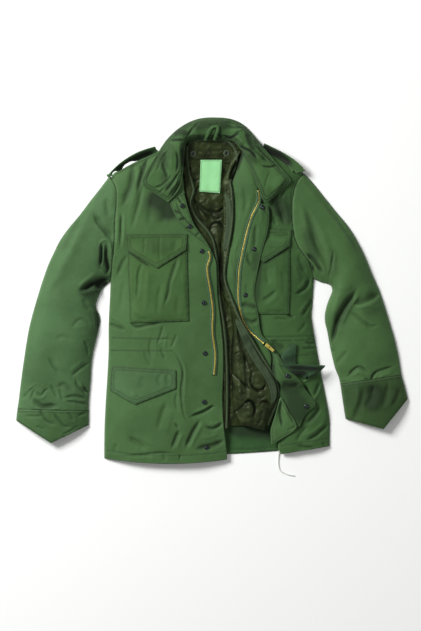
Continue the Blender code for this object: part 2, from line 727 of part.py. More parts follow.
def strap(name, rows, along, thickness, material):
    """A strap on edge: ruled between its lower and upper edges and given its thickness."""
    table = smooth_through(rows, along)
    shares = np.linspace(0, 1, 4)[None, :, None]
    points = table[:, None, :3] + (table[:, None, 3:] - table[:, None, :3]) * shares
    made = mesh_object(name, points.reshape(-1, 3), grid_faces(along, 4), material)
    solidify = made.modifiers.new("thickness", "SOLIDIFY")
    solidify.thickness = thickness * MM
    solidify.offset = 0
    return made


def ribbon(name, path, along, width, thickness, material, below, gap=GAP):
    """A narrow strip of even width along a path, lying on the pieces below."""
    middle = smooth_through(path, along)
    run = np.gradient(middle, axis=0)
    run /= np.linalg.norm(run, axis=1)[:, None]
    side = np.stack([run[:, 1], -run[:, 0]], axis=1) * width / 2
    under = np.zeros((along, 3, 3))
    for j, share in enumerate((-1, 0, 1)):
        under[:, j, :2] = middle + side * share
    level = lay_on(under, below, width / 2, gap)[:, :, 2].max(axis=1)
    under[:, :, 2] = level[:, None]
    return wall(name, under, thickness, material)


def disc(name, place, width, height, below, material):
    """A low round button with a slightly smaller top."""
    low = height_below(place.x, place.y, below, width / 2) + GAP
    mesh = bpy.data.meshes.new(name)
    shape = bmesh.new()
    bmesh.ops.create_cone(
        shape, cap_ends=True, segments=12, radius1=width / 2 * MM,
        radius2=width * 0.4 * MM, depth=height * MM,
    )
    shape.to_mesh(mesh)
    shape.free()
    mesh.materials.append(material)
    made = bpy.data.objects.new(name, mesh)
    made.location = Vector((place.x, place.y, low + height / 2)) * MM
    bpy.context.scene.collection.objects.link(made)
    return made


def box(name, low, high, material):
    """A box between two corners in the object's own axes."""
    corners = list(itertools.product(*zip(low, high)))
    faces = [(0, 1, 3, 2), (4, 6, 7, 5), (0, 4, 5, 1), (2, 3, 7, 6), (0, 2, 6, 4), (1, 5, 7, 3)]
    return mesh_object(name, corners, faces, material)


def join_or_cut(target, tool, operation):
    modifier = target.modifiers.new(operation.lower(), "BOOLEAN")
    modifier.operation = operation
    modifier.object = tool
    tool.hide_render = True
    tool.display_type = "WIRE"
    tool.parent = target.parent


def make_body_shell():
    panel("back", BACK_ROWS, 40, 12, armholes=("right", "left"))


def make_liner():
    quilted("liner_back", LINER_BACK_ROWS, 46, 13)
    below = ("liner_back",)
    quilted("liner_front_right", LINER_FRONT_RIGHT_ROWS, 24, 4, below, 12, EDGE_PUFF)


def make_fronts():
    below = ("liner_back", "liner_front_right")
    panel("front_right", FRONT_RIGHT_ROWS, 32, 13, SHELL, FRONT_RIGHT_FOLDS, below, 22, 0, ("right",))
    below = ("liner_back",)
    panel("front_left", FRONT_LEFT_ROWS, 32, 11, SHELL, FRONT_LEFT_FOLDS, below, 14, 0, ("left",))


def make_sleeves():
    for side, rows, folds, seam in (
        ("right", SLEEVE_RIGHT_ROWS, SLEEVE_RIGHT_FOLDS, ARMHOLE_RIGHT),
        ("left", SLEEVE_LEFT_ROWS, SLEEVE_LEFT_FOLDS, ARMHOLE_LEFT),
    ):
        flat_tube("sleeve_" + side, rows, 19, SLEEVE_ACROSS, folds, seam)
    flat_tube("cuff_right", CUFF_RIGHT_ROWS, 4, 11)
    flat_tube("cuff_left", CUFF_LEFT_ROWS, 4, 11)


def make_pockets():
    front = ("front_right",)
    panel("chest_pocket_right", CHEST_POCKET_RIGHT_ROWS, 9, 8, below=front, reach=7, rise=POCKET_RISE)
    panel("lower_flap_right", LOWER_FLAP_RIGHT_ROWS, 5, 9, below=front, reach=7, rise=2)
    front = ("front_left",)
    panel("chest_pocket_left", CHEST_POCKET_LEFT_ROWS, 9, 7, below=front, reach=7, rise=POCKET_RISE)
    for side, rows in (("right", CHEST_FLAP_RIGHT_ROWS), ("left", CHEST_FLAP_LEFT_ROWS)):
        below = ("front_" + side, "chest_pocket_" + side)
        panel("chest_flap_" + side, rows, 5, 9, below=below, reach=9, rise=1.5)


def make_turned_back_edge():
    """The left front's inner face, which the open front shows from the liner to its free edge."""
    chest = ("front_left", "chest_pocket_left", "chest_flap_left", "liner_back")
    panel("facing_left", FACING_LEFT_ROWS, 28, 6, below=chest, reach=7)
    panel("fly_fold_left", FLY_FOLD_ROWS, 5, 5, below=("front_left",), reach=7)
    below = chest + ("fly_fold_left",)
    panel("fly_flap_left", FLY_LEFT_ROWS, 34, 6, below=below, reach=12)
    panel("lapel_right", LAPEL_RIGHT_ROWS, 9, 4, below=("front_right",), reach=7)


def make_loose_ends():
    """What lies over the zip and the turned-back edge."""
    below = ("liner_back", "facing_left", "zip_tape_left", "zip_chain_left")
    quilted("liner_front_left", LINER_FRONT_LEFT_ROWS, 40, 9, below, 7)
    below = ("front_left", "fly_flap_left", "fly_fold_left")
    panel("lower_flap_left", LOWER_FLAP_LEFT_ROWS, 5, 7, below=below, reach=8)
    below = ("front_left", "fly_flap_left", "facing_left", "liner_front_left", "back")
    panel("hem_corner_left", HEM_CORNER_ROWS, 9, 5, HEM, below=below, reach=8)


def make_collar():
    below = (
        "front_right", "front_left", "facing_left", "fly_flap_left", "lapel_right", "zip_chain_left",
        "zip_tape_left", "liner_front_right", "liner_front_left", "liner_back", "back",
    )
    panel("collar", COLLAR_ROWS, 34, 7, HEM, COLLAR_FOLDS, below, 10)
    strap("epaulette_right", EPAULETTE_RIGHT_ROWS, 13, SHELL, shell_cloth())
    strap("epaulette_left", EPAULETTE_LEFT_ROWS, 13, SHELL, shell_cloth())
    below = ("collar", "liner_back")
    ribbon("hanger_loop", LOOP_PATH, 12, LOOP_WIDTH, LOOP, shell_cloth(), below)
    pale = finish_material("woven_label", PALE_GREEN, 0.6)
    under = sheet_points(LABEL_ROWS, 5, np.linspace(0, 1, 5))
    wall("label", lay_on(under, ("liner_back",), 8), LOOP, pale)


def make_zips():
    tape = finish_material("zip_tape", OLIVE, 0.8)
    fronts = (
        ("right", ZIP_RIGHT_PATH, ("front_right",), 26),
        ("left", ZIP_LEFT_PATH, ("facing_left", "fly_flap_left"), 30),
    )
    for side, path, below, along in fronts:
        ribbon("zip_tape_" + side, path, along, TAPE_WIDTH, TAPE, tape, below)
        below = ("zip_tape_" + side,)
        ribbon("zip_chain_" + side, path, along, CHAIN_WIDTH, CHAIN, brass(), below, 0.3)


def slider_frame():
    """An empty on the zip under the slider, whose X runs along the zip to its lower end."""
    below = ("zip_chain_left", "zip_tape_left", "facing_left", "fly_flap_left", "front_left")
    low = height_below(*SLIDER_PLACE, below, 7) + GAP
    frame = bpy.data.objects.new("slider_frame", None)
    frame.location = Vector((*SLIDER_PLACE, low)) * MM
    frame.rotation_euler = (0, 0, SLIDER_TURN)
    bpy.context.scene.collection.objects.link(frame)
    return frame


def make_slider(frame):
    """The slider's body with a bridge along it, under which the pull tab's bar turns."""
    half = SLIDER_WIDTH / 2
    end = SLIDER_LENGTH / 2
    slider = box("zip_slider", (-end, -half, 0), (end, half, SLIDER_HEIGHT), brass())
    slider.parent = frame
    reach = BRIDGE_LENGTH / 2
    side = BRIDGE_WIDTH / 2
    under = SLIDER_HEIGHT - 0.5
    top = SLIDER_HEIGHT + BRIDGE_CLEAR
    for name, start in (("rear", -reach), ("front", reach - BRIDGE_POST)):
        high = (start + BRIDGE_POST, side, top + BRIDGE_TOP)
        post = box("bridge_" + name, (start, -side, under), high, brass())
        join_or_cut(slider, post, "UNION")
    beam = box("bridge_beam", (0.2 - reach, -side, top), (reach - 0.2, side, top + BRIDGE_TOP), brass())
    join_or_cut(slider, beam, "UNION")
    return slider


def make_pull_tab(frame):
    """The tab, with its bar on the axis at its origin and a window round the bridge's front post."""
    bar = TAB_THICKNESS / 2
    half = TAB_WIDTH / 2
    axis = bpy.data.objects.new("pull_axis", None)
    axis.parent = frame
    axis.location = Vector((0, 0, SLIDER_HEIGHT + BRIDGE_CLEAR / 2)) * MM
    axis.rotation_euler = (0, TAB_DROOP, 0)
    bpy.context.scene.collection.objects.link(axis)
    tab = box("zip_pull", (-bar, -half, -bar), (TAB_LENGTH, half, bar), brass())
    tab.parent = axis
    length, width = TAB_WINDOW
    window = box("pull_window", (bar, -width / 2, -3), (bar + length, width / 2, 3), brass())
    join_or_cut(tab, window, "DIFFERENCE")


def make_zip_hardware():
    frame = slider_frame()
    make_slider(frame)
    make_pull_tab(frame)


def make_snaps():
    """Stud halves on the right front and socket halves on the fly flap, and two on the liner's neck."""
    dark = finish_material("painted_brass", NAVY, 0.4, 0.6)
    right = ("front_right", "chest_pocket_right", "zip_tape_right", "lapel_right")
    left = ("front_left", "fly_flap_left", "zip_tape_left")
    for side, places, below in (("right", SNAPS_RIGHT, right), ("left", SNAPS_LEFT, left)):
        for number, place in enumerate(places, 1):
            disc(f"snap_{side}_{number}", place, SNAP_WIDTH, SNAP_HEIGHT, below, dark)
    below = ("liner_back", "liner_front_left")
    for number, place in enumerate(NECK_RINGS, 1):
        disc(f"neck_snap_{number}", place, RING_WIDTH, RING_HEIGHT, below, dark)


def make_hem_cord():
    points = smooth_through(CORD_PATH, 16)
    curve = bpy.data.curves.new("hem_cord", "CURVE")
    curve.dimensions = "3D"
    curve.bevel_depth = CORD_WIDTH / 2 * MM
    curve.bevel_resolution = 2
    curve.use_fill_caps = True
    line = curve.splines.new("POLY")
    line.points.add(len(points) - 1)
    for spot, point in zip(line.points, points):
        spot.co = (*(point * MM), 1)
    curve.materials.append(finish_material("braided_cord", CORD_WHITE, 0.8))
    cord = bpy.data.objects.new("hem_cord", curve)
    bpy.context.scene.collection.objects.link(cord)


def main():
    clear_scene()
    make_body_shell()
    make_liner()
    make_fronts()
    make_sleeves()
    make_pockets()
    make_turned_back_edge()
    make_zips()
    make_loose_ends()
    make_collar()
    make_zip_hardware()
    make_snaps()
    make_hem_cord()


main()
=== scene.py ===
import math

import bpy
import numpy as np
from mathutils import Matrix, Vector
from mathutils.bvhtree import BVHTree
from mathutils.geometry import delaunay_2d_cdt
from mathutils.kdtree import KDTree


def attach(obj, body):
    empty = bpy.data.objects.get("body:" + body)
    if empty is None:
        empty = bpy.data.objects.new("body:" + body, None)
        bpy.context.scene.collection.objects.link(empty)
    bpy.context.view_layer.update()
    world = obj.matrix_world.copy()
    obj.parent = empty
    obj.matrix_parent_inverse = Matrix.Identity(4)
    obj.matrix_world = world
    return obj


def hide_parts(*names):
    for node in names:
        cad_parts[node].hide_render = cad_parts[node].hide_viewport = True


# A field jacket laid open on its back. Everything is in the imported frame: origin under the middle
# of the jacket, +X to the wearer's left, +Y to the collar, +Z up. Lengths here are millimetres
# until makeMesh turns them into metres. Right and left are the wearer's.

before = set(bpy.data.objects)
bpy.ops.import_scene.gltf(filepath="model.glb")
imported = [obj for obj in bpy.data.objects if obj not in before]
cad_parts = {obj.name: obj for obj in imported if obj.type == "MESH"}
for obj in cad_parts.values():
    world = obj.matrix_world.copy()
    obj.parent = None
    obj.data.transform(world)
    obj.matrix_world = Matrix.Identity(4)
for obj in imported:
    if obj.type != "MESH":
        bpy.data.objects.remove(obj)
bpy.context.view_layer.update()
mm = 0.001
below = Vector((0, 0, -1))
above = 500  # the height that a look down starts from
nothing = -50.0  # the height given where a look down meets no piece
laid = {}  # search trees of the upper faces made so far, by piece


def toLinear(hexColour):
    parts = [int(hexColour[i:i + 2], 16) / 255 for i in (1, 3, 5)]
    return tuple(p / 12.92 if p <= 0.04045 else ((p + 0.055) / 1.055) ** 2.4 for p in parts) + (1.0,)


def addNode(tree, kind, settings=None, links=None):
    node = tree.nodes.new(kind)
    for name, value in (settings or {}).items():
        if isinstance(name, int) or name in node.inputs:
            node.inputs[name].default_value = value
        else:
            setattr(node, name, value)
    for name, source in (links or {}).items():
        tree.links.new(source, node.inputs[name])
    return node


def waver(s, length, seed):
    # smooth random numbers from -1 to 1 along a line, one swing about every length
    count = 97
    table = np.random.default_rng(seed).uniform(-1, 1, count)
    u = np.asarray(s, float) / length
    i = np.floor(u).astype(int)
    f = u - i
    f = f * f * (3 - 2 * f)
    return table[i % count] * (1 - f) + table[(i + 1) % count] * f


def drift(x, y, size, seed):
    # smooth random heights from -1 to 1, with hills about size across
    count = 61
    table = np.random.default_rng(seed).uniform(-1, 1, (count, count))
    c, s = math.cos(seed), math.sin(seed)
    u, v = (c * x - s * y) / size, (s * x + c * y) / size
    i, j = np.floor(u).astype(int), np.floor(v).astype(int)
    f, g = u - i, v - j
    f, g = f * f * (3 - 2 * f), g * g * (3 - 2 * g)
    i, j, k, m = i % count, j % count, (i + 1) % count, (j + 1) % count
    low = table[i, j] * (1 - f) + table[k, j] * f
    high = table[i, m] * (1 - f) + table[k, m] * f
    return low * (1 - g) + high * g


def smoothThrough(points, count):
    # count even steps of a smooth curve through the points
    points = np.array(points, float)
    if len(points) == 2:
        return points[0] + np.linspace(0, 1, count)[:, None] * (points[1] - points[0])
    steps = np.linspace(0, len(points) - 1, count)
    first = np.minimum(steps.astype(int), len(points) - 2)
    part = (steps - first)[:, None]
    padded = np.vstack([2 * points[:1] - points[1:2], points, 2 * points[-1:] - points[-2:-1]])
    a, b, c, d = (padded[first + k] for k in range(4))
    return b + 0.5 * part * (c - a + part * (2 * a - 5 * b + 4 * c - d + part * (3 * (b - c) + d - a)))


def evenly(path, spacing):
    # the same line with points at even distances
    path = np.asarray(path, float)
    steps = np.linalg.norm(np.diff(path, axis=0), axis=1)
    run = np.concatenate([[0], np.cumsum(steps)])
    count = max(2, int(round(run[-1] / spacing)) + 1)
    at = np.linspace(0, run[-1], count)
    return np.stack([np.interp(at, run, path[:, k]) for k in range(path.shape[1])], axis=1)


def nearLine(xy, path):
    # for each point: how far left of the line it is (right is negative), how far away, and how far
    # along; then the line's length
    side = np.zeros(len(xy))
    best = np.full(len(xy), 1e9)
    along = np.zeros(len(xy))
    run = 0.0
    for a, b in zip(path[:-1], path[1:]):
        d = b - a
        length = math.hypot(d[0], d[1])
        if length < 1e-6:
            continue
        t = np.clip(((xy - a) @ d) / length ** 2, 0, 1)
        off = xy - a - t[:, None] * d
        away = np.hypot(off[:, 0], off[:, 1])
        near = away < best
        best = np.where(near, away, best)
        left = np.sign(d[0] * off[:, 1] - d[1] * off[:, 0])
        side = np.where(near, left * away, side)
        along = np.where(near, run + t * length, along)
        run += length
    return side, best, along, run


def insideOf(ring, xy):
    # whether each point is inside a closed outline
    inside = np.zeros(len(xy), bool)
    x, y = xy[:, 0], xy[:, 1]
    for (ax, ay), (bx, by) in zip(ring, np.roll(ring, -1, axis=0)):
        if ay != by:
            crosses = ((ay > y) != (by > y)) & (x < (bx - ax) * (y - ay) / (by - ay) + ax)
            inside ^= crosses
    return inside


def makeMesh(name, points, faces, material, smooth=True):
    mesh = bpy.data.meshes.new(name)
    mesh.from_pydata((np.asarray(points, float) * mm).tolist(), [], [tuple(int(i) for i in f) for f in faces])
    mesh.update()
    if smooth:
        mesh.shade_smooth()
    mesh.materials.append(material)
    made = bpy.data.objects.new(name, mesh)
    bpy.context.scene.collection.objects.link(made)
    return made


studio = {
    "middle": (-3.75, -62.5),  # what the camera looks straight down at
    "covered": 1577.5,  # the long side of the view on the floor
    "lens": 200, "sensor": 36, "clip": 50,
    "floor": "#f4f5f3", "floorRough": 0.9, "floorHalf": 9000, "floorHeight": -0.3,
    "key": 335, "keySize": 1900, "keyAt": (-3150, 2250, 2900),
    "fill": 12, "fillSize": 3000, "fillAt": (1900, -900, 2300),
    "sky": 0.28,
}


def setStudio():
    camera = bpy.data.cameras.new("camera")
    camera.lens = studio["lens"]
    camera.sensor_width = studio["sensor"]
    camera.clip_end = studio["clip"]
    holder = bpy.data.objects.new("camera", camera)
    away = studio["covered"] * studio["lens"] / studio["sensor"]
    holder.location = Vector((*studio["middle"], away)) * mm
    bpy.context.scene.collection.objects.link(holder)
    bpy.context.scene.camera = holder
    for name in ("key", "fill"):
        lamp = bpy.data.lights.new(name, "AREA")
        lamp.energy = studio[name]
        lamp.size = studio[name + "Size"] * mm
        light = bpy.data.objects.new(name, lamp)
        light.location = Vector(studio[name + "At"]) * mm
        light.rotation_euler = (-light.location).to_track_quat("-Z", "Y").to_euler()
        bpy.context.scene.collection.objects.link(light)
    world = bpy.data.worlds.new("studio")
    world.use_nodes = True
    world.node_tree.nodes["Background"].inputs["Color"].default_value = (1, 1, 1, 1)
    world.node_tree.nodes["Background"].inputs["Strength"].default_value = studio["sky"]
    bpy.context.scene.world = world
    bpy.context.scene.view_settings.view_transform = "Standard"
    paper = bpy.data.materials.new("pale seamless paper")
    paper.use_nodes = True
    shader = paper.node_tree.nodes["Principled BSDF"]
    shader.inputs["Base Color"].default_value = toLinear(studio["floor"])
    shader.inputs["Roughness"].default_value = studio["floorRough"]
    far, low = studio["floorHalf"], studio["floorHeight"]
    floor = makeMesh("floor", [(-far, -far, low), (far, -far, low), (far, far, low), (-far, far, low)],
                     [(0, 1, 2, 3)], paper)


setStudio()
print("camera and light")


def sateen(name, lit, deep):
    # Cotton and nylon sateen, woven 5-end and piece dyed olive: close and smooth, it takes a broad dull
    # light on its folds, goes paler where it rubs and keeps faint uneven dye in between.
    material = bpy.data.materials.new(name)
    material.use_nodes = True
    tree = material.node_tree
    shader = tree.nodes["Principled BSDF"]
    place = addNode(tree, "ShaderNodeTexCoord").outputs["Object"]
    cloud = addNode(tree, "ShaderNodeTexNoise", {"Scale": 11.0, "Detail": 3.0, "Roughness": 0.6},
                    {"Vector": place})
    mottle = addNode(tree, "ShaderNodeTexNoise", {"Scale": 170.0, "Detail": 3.0, "Roughness": 0.7},
                     {"Vector": place})
    # the real threads are 0.35 mm apart, drawn at 1.1 mm so that they show
    turned = addNode(tree, "ShaderNodeMapping", {"Rotation": (0, 0, math.radians(62))}, {"Vector": place})
    twill = addNode(tree, "ShaderNodeTexWave",
                    {"Scale": 285.0, "Distortion": 1.2, "Detail": 1.0, "Detail Scale": 3.0},
                    {"Vector": turned.outputs["Vector"]})
    cloudShare = 0.72  # the rest of the uneven dye is in small specks
    speck = addNode(tree, "ShaderNodeMath", {"operation": "MULTIPLY", 1: 1 - cloudShare},
                    {0: mottle.outputs["Fac"]})
    blotch = addNode(tree, "ShaderNodeMath", {"operation": "MULTIPLY_ADD", 1: cloudShare},
                     {0: cloud.outputs["Fac"], 2: speck.outputs[0]})
    spread = addNode(tree, "ShaderNodeMapRange", {"From Min": 0.36, "From Max": 0.64},
                     {"Value": blotch.outputs[0]})
    tone = addNode(tree, "ShaderNodeMix", {"data_type": "RGBA", 6: toLinear(deep), 7: toLinear(lit)},
                   {0: spread.outputs[0]})
    ridge = addNode(tree, "ShaderNodeNewGeometry").outputs["Pointiness"]
    rubbed = addNode(tree, "ShaderNodeMapRange", {"From Min": 0.505, "From Max": 0.56, "To Max": 0.35},
                     {"Value": ridge})
    worn = addNode(tree, "ShaderNodeMix",
                   {"data_type": "RGBA", "blend_type": "SCREEN", 7: toLinear("#3c4a36")},
                   {0: rubbed.outputs[0], 6: tone.outputs[2]})
    # painted shade: where a sheet carries a painted shade value, its colour is darkened towards a near-black
    # green, standing in for the shade in creases, grooves, under edges and in shadowed places
    paintedShade = addNode(tree, "ShaderNodeAttribute", {"attribute_name": "paintedShade"}).outputs["Fac"]
    sunk = addNode(tree, "ShaderNodeMix", {"data_type": "RGBA", 7: toLinear("#11180f")},
                   {0: paintedShade, 6: worn.outputs[2]})
    tree.links.new(sunk.outputs[2], shader.inputs["Base Color"])
    grain = addNode(tree, "ShaderNodeBump", {"Strength": 0.25, "Distance": 0.00012},
                    {"Height": twill.outputs["Fac"]})
    uneven = addNode(tree, "ShaderNodeBump", {"Strength": 0.35, "Distance": 0.0006},
                     {"Height": mottle.outputs["Fac"], "Normal": grain.outputs[0]})
    tree.links.new(uneven.outputs[0], shader.inputs["Normal"])
    rough = addNode(tree, "ShaderNodeMapRange", {"To Min": 0.6, "To Max": 0.78},
                    {"Value": mottle.outputs["Fac"]})
    tree.links.new(rough.outputs[0], shader.inputs["Roughness"])
    shader.inputs["IOR"].default_value = 1.46
    shader.inputs["Specular IOR Level"].default_value = 0.2
    shader.inputs["Sheen Weight"].default_value = 0.06
    shader.inputs["Sheen Roughness"].default_value = 0.5
    return material


def cordage(name, colour, dark):
    # Braided cotton cord or sewing thread: soft, matt and faintly ribbed.
    material = bpy.data.materials.new(name)
    material.use_nodes = True
    tree = material.node_tree
    shader = tree.nodes["Principled BSDF"]
    place = addNode(tree, "ShaderNodeTexCoord").outputs["Object"]
    rib = addNode(tree, "ShaderNodeTexWave", {"Scale": 300.0, "Distortion": 2.0}, {"Vector": place})
    tone = addNode(tree, "ShaderNodeMix", {"data_type": "RGBA", 6: toLinear(dark), 7: toLinear(colour)},
                   {0: rib.outputs["Fac"]})
    tree.links.new(tone.outputs[2], shader.inputs["Base Color"])
    bump = addNode(tree, "ShaderNodeBump", {"Strength": 0.6, "Distance": 0.0003},
                   {"Height": rib.outputs["Fac"]})
    tree.links.new(bump.outputs[0], shader.inputs["Normal"])
    shader.inputs["Roughness"].default_value = 0.85
    return material


def liningNylon(name, lit, deep):
    # Light nylon taffeta, quilted and calendered: thin and slippery, it crumples into small sharp
    # lights over its padding.
    material = bpy.data.materials.new(name)
    material.use_nodes = True
    tree = material.node_tree
    shader = tree.nodes["Principled BSDF"]
    place = addNode(tree, "ShaderNodeTexCoord").outputs["Object"]
    cloud = addNode(tree, "ShaderNodeTexNoise", {"Scale": 26.0, "Detail": 4.0, "Roughness": 0.65},
                    {"Vector": place})
    crumple = addNode(tree, "ShaderNodeTexNoise",
                      {"Scale": 95.0, "Detail": 4.0, "Roughness": 0.62, "Distortion": 0.6},
                      {"Vector": place})
    spread = addNode(tree, "ShaderNodeMapRange", {"From Min": 0.36, "From Max": 0.64},
                     {"Value": cloud.outputs["Fac"]})
    tone = addNode(tree, "ShaderNodeMix", {"data_type": "RGBA", 6: toLinear(deep), 7: toLinear(lit)},
                   {0: spread.outputs[0]})
    # painted shade: where the lining carries a painted shade value, its colour is darkened towards near
    # black, standing in for the shade in the quilting grooves and the gaps between layers
    paintedShade = addNode(tree, "ShaderNodeAttribute", {"attribute_name": "paintedShade"}).outputs["Fac"]
    sunk = addNode(tree, "ShaderNodeMix", {"data_type": "RGBA", 7: toLinear("#070906")},
                   {0: paintedShade, 6: tone.outputs[2]})
    tree.links.new(sunk.outputs[2], shader.inputs["Base Color"])
    crumpled = addNode(tree, "ShaderNodeBump", {"Strength": 0.6, "Distance": 0.0018},
                       {"Height": crumple.outputs["Fac"]})
    tree.links.new(crumpled.outputs[0], shader.inputs["Normal"])
    shader.inputs["Roughness"].default_value = 0.44
    shader.inputs["IOR"].default_value = 1.53
    shader.inputs["Specular IOR Level"].default_value = 0.26
    shader.inputs["Specular Tint"].default_value = toLinear("#c6d2b0")  # the dyed finish greens the light
    return material


def metal(name, colour, rough, dull):
    # Polished or painted brass with small tarnished patches, a little rougher than the rest.
    material = bpy.data.materials.new(name)
    material.use_nodes = True
    tree = material.node_tree
    shader = tree.nodes["Principled BSDF"]
    place = addNode(tree, "ShaderNodeTexCoord").outputs["Object"]
    tarnish = addNode(tree, "ShaderNodeTexNoise", {"Scale": 420.0, "Detail": 3.0}, {"Vector": place})
    tone = addNode(tree, "ShaderNodeMix", {"data_type": "RGBA", 6: toLinear(dull), 7: toLinear(colour)},
                   {0: tarnish.outputs["Fac"]})
    tree.links.new(tone.outputs[2], shader.inputs["Base Color"])
    shine = addNode(tree, "ShaderNodeMapRange", {"To Min": rough * 0.8, "To Max": rough * 1.3},
                    {"Value": tarnish.outputs["Fac"]})
    tree.links.new(shine.outputs[0], shader.inputs["Roughness"])
    shader.inputs["Metallic"].default_value = 1.0
    return material


sewingThread = cordage("spun polyester thread", "#42583c", "#2c402a")
print("materials")


hemCord = {
    "width": 2.4,
    "length": 0.0915,  # in metres
    "steps": 16,
    "route": [(168, -399, 3.4), (167, -408, 2.2), (166, -422, 1.3), (166, -435, 1.3), (170, -450, 1.3),
              (180, -456, 1.3), (189, -460, 1.3), (197, -462, 1.3), (206, -463, 1.3)],
}


def layHemCord():
    points = smoothThrough(hemCord["route"], hemCord["steps"])
    curve = bpy.data.curves.new("hemCord", "CURVE")
    curve.dimensions = "3D"
    curve.bevel_depth = hemCord["width"] / 2 * mm
    curve.bevel_resolution = 3
    curve.use_fill_caps = True
    line = curve.splines.new("POLY")
    line.points.add(len(points) - 1)
    for spot, point in zip(line.points, points):
        spot.co = (*(point * mm), 1)
    curve.materials.append(cordage("braided cotton cord", "#eef0e8", "#b9beb0"))
    cord = bpy.data.objects.new("hemCord", curve)
    bpy.context.scene.collection.objects.link(cord)
    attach(cord, "jacket")
    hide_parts("hem_cord")


layHemCord()
print("hem cord")


def readSolid(node):
    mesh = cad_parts[node].data
    mesh.calc_loop_triangles()
    points = np.empty(len(mesh.vertices) * 3, np.float32)
    mesh.vertices.foreach_get("co", points)
    corners = np.empty(len(mesh.loop_triangles) * 3, np.int32)
    mesh.loop_triangles.foreach_get("vertices", corners)
    points = points.reshape(-1, 3).astype(float) / mm
    _, first, same = np.unique(np.round(points, 2), axis=0, return_index=True, return_inverse=True)
    corners = same.reshape(-1)[corners.reshape(-1, 3)]
    a, b, c = corners.T
    return points[first], corners[(a != b) & (b != c) & (a != c)]


sheets = {  # how cloth is taken from a solid and meshed, in mm
    "slack": 0.08,  # how far below the highest face a face may lie and still count as the upper one
    "steepest": 0.06,  # the least upward share of an upper face's normal
    "sharpTurn": 34,  # degrees of a corner that isn't rounded
    "rim": 3.0, "line": 3.0, "grid": 3.0,  # between the points of an outline, a sewn line and a sheet
    "row": 2.6, "rowOff": 1.4,  # the close rows on both sides of a sewn line
    "rowClear": 1.2,  # from a close row to the outline
    "gridClear": 0.62,  # from the lattice to the outline, as a share of its spacing
    "gridToRow": 1.9,  # from the lattice to a close row, at most
    "growth": {"seam": 0.55, "side": 0.2},  # how far an edge runs out under its neighbour
    "sharpCrease": 3.6,  # a crease narrower than this has close rows too
    "reachIn": (0.5, 1.5, 3.0, 6.0),  # how far inside the outline heights are looked for
    "rimTurns": 6, "turns": 24,  # how often heights are evened out, along the outline and in the sheet
}


def upperFaces(points, corners, slack):
    # the faces that are seen from straight above, give or take the slack in height
    tree = BVHTree.FromPolygons(points.tolist(), corners.tolist())
    a, b, c = (points[corners[:, k]] for k in range(3))
    normal = np.cross(b - a, c - a)
    steep = normal[:, 2] / np.maximum(np.linalg.norm(normal, axis=1), 1e-9)
    middle = (a + b + c) / 3
    kept = []
    for i in np.flatnonzero(steep > sheets["steepest"]):
        hit = tree.ray_cast(Vector((middle[i][0], middle[i][1], above)), below)[0]
        if hit is not None and hit.z - middle[i][2] < slack:
            kept.append(i)
    return corners[kept]


def rimOf(corners, points):
    # the longest run of edges that only one face uses, counter-clockwise from above
    directed = np.vstack([corners[:, [0, 1]], corners[:, [1, 2]], corners[:, [2, 0]]])
    used = set(map(tuple, directed.tolist()))
    follow = {}
    for a, b in sorted(used):
        if (b, a) not in used:
            follow.setdefault(a, []).append(b)
    best, longest = [], 0
    while follow:
        path = [min(follow)]
        while path and path[-1] in follow:
            at = path[-1]
            ahead = follow[at].pop()
            if not follow[at]:
                del follow[at]
            if ahead not in path:
                path.append(ahead)
                continue
            start = path.index(ahead)
            size = np.linalg.norm(np.ptp(points[path[start:], :2], axis=0))
            if size > longest:
                best, longest = path[start:], size
            path = path[:start + 1]
    return points[best]


def smoothRim(rim, spacing):
    # rounds the rim between its corners and spaces its points evenly
    xy = rim[:, :2]
    ahead = np.roll(xy, -1, axis=0) - xy
    behind = xy - np.roll(xy, 1, axis=0)
    turned = np.degrees(np.abs(np.arctan2(behind[:, 0] * ahead[:, 1] - behind[:, 1] * ahead[:, 0],
                                          (behind * ahead).sum(axis=1))))
    corner = np.flatnonzero(turned > sheets["sharpTurn"])
    if not len(corner):
        corner = np.array([0])
    parts = []
    for a, b in zip(corner, np.roll(corner, -1)):
        run = np.arange(a, b + 1 if b > a else b + len(xy) + 1) % len(xy)
        curve = smoothThrough(xy[run], len(run) * 8)
        parts.append(evenly(curve, spacing)[:-1])
    return np.vstack(parts)


def inward(ring):
    # unit normals that point into a counter-clockwise outline
    run = np.roll(ring, -1, axis=0) - np.roll(ring, 1, axis=0)
    run /= np.maximum(np.linalg.norm(run, axis=1), 1e-9)[:, None]
    return np.stack([-run[:, 1], run[:, 0]], axis=1)


def edgeParts(ring, edges):
    # the outline's points of each named edge; edges gives where each starts, counter-clockwise
    parts = []
    starts = [int(np.argmin(np.hypot(*(ring - spot).T))) for spot, _ in edges]
    for (start, end), (_, kind) in zip(zip(starts, starts[1:] + starts[:1]), edges):
        span = np.arange(start, (end if end > start else end + len(ring)) + 1) % len(ring)
        parts.append((kind, span))
    return parts


def insetPath(ring, span, inset):
    # a line inside one edge of the outline
    path = ring[span] + inward(ring)[span] * inset
    away = np.min([np.hypot(*(path - ring[i]).T) for i in span], axis=0)
    path = path[away > inset * 0.96]  # leaves out what crosses itself in a corner
    path = evenly(path, sheets["line"])
    for _ in range(4):
        path[1:-1] = (path[:-2] + path[1:-1] * 2 + path[2:]) / 4
    return path


def treeOf(points):
    # a search tree of points in the plane
    tree = KDTree(len(points))
    for i, (x, y) in enumerate(points):
        tree.insert((x, y, 0), i)
    tree.balance()
    return tree


def clearOf(points, tree, distance):
    # the points that are further than the distance from all points of the tree
    return points[[tree.find((x, y, 0))[2] > distance for x, y in points]]


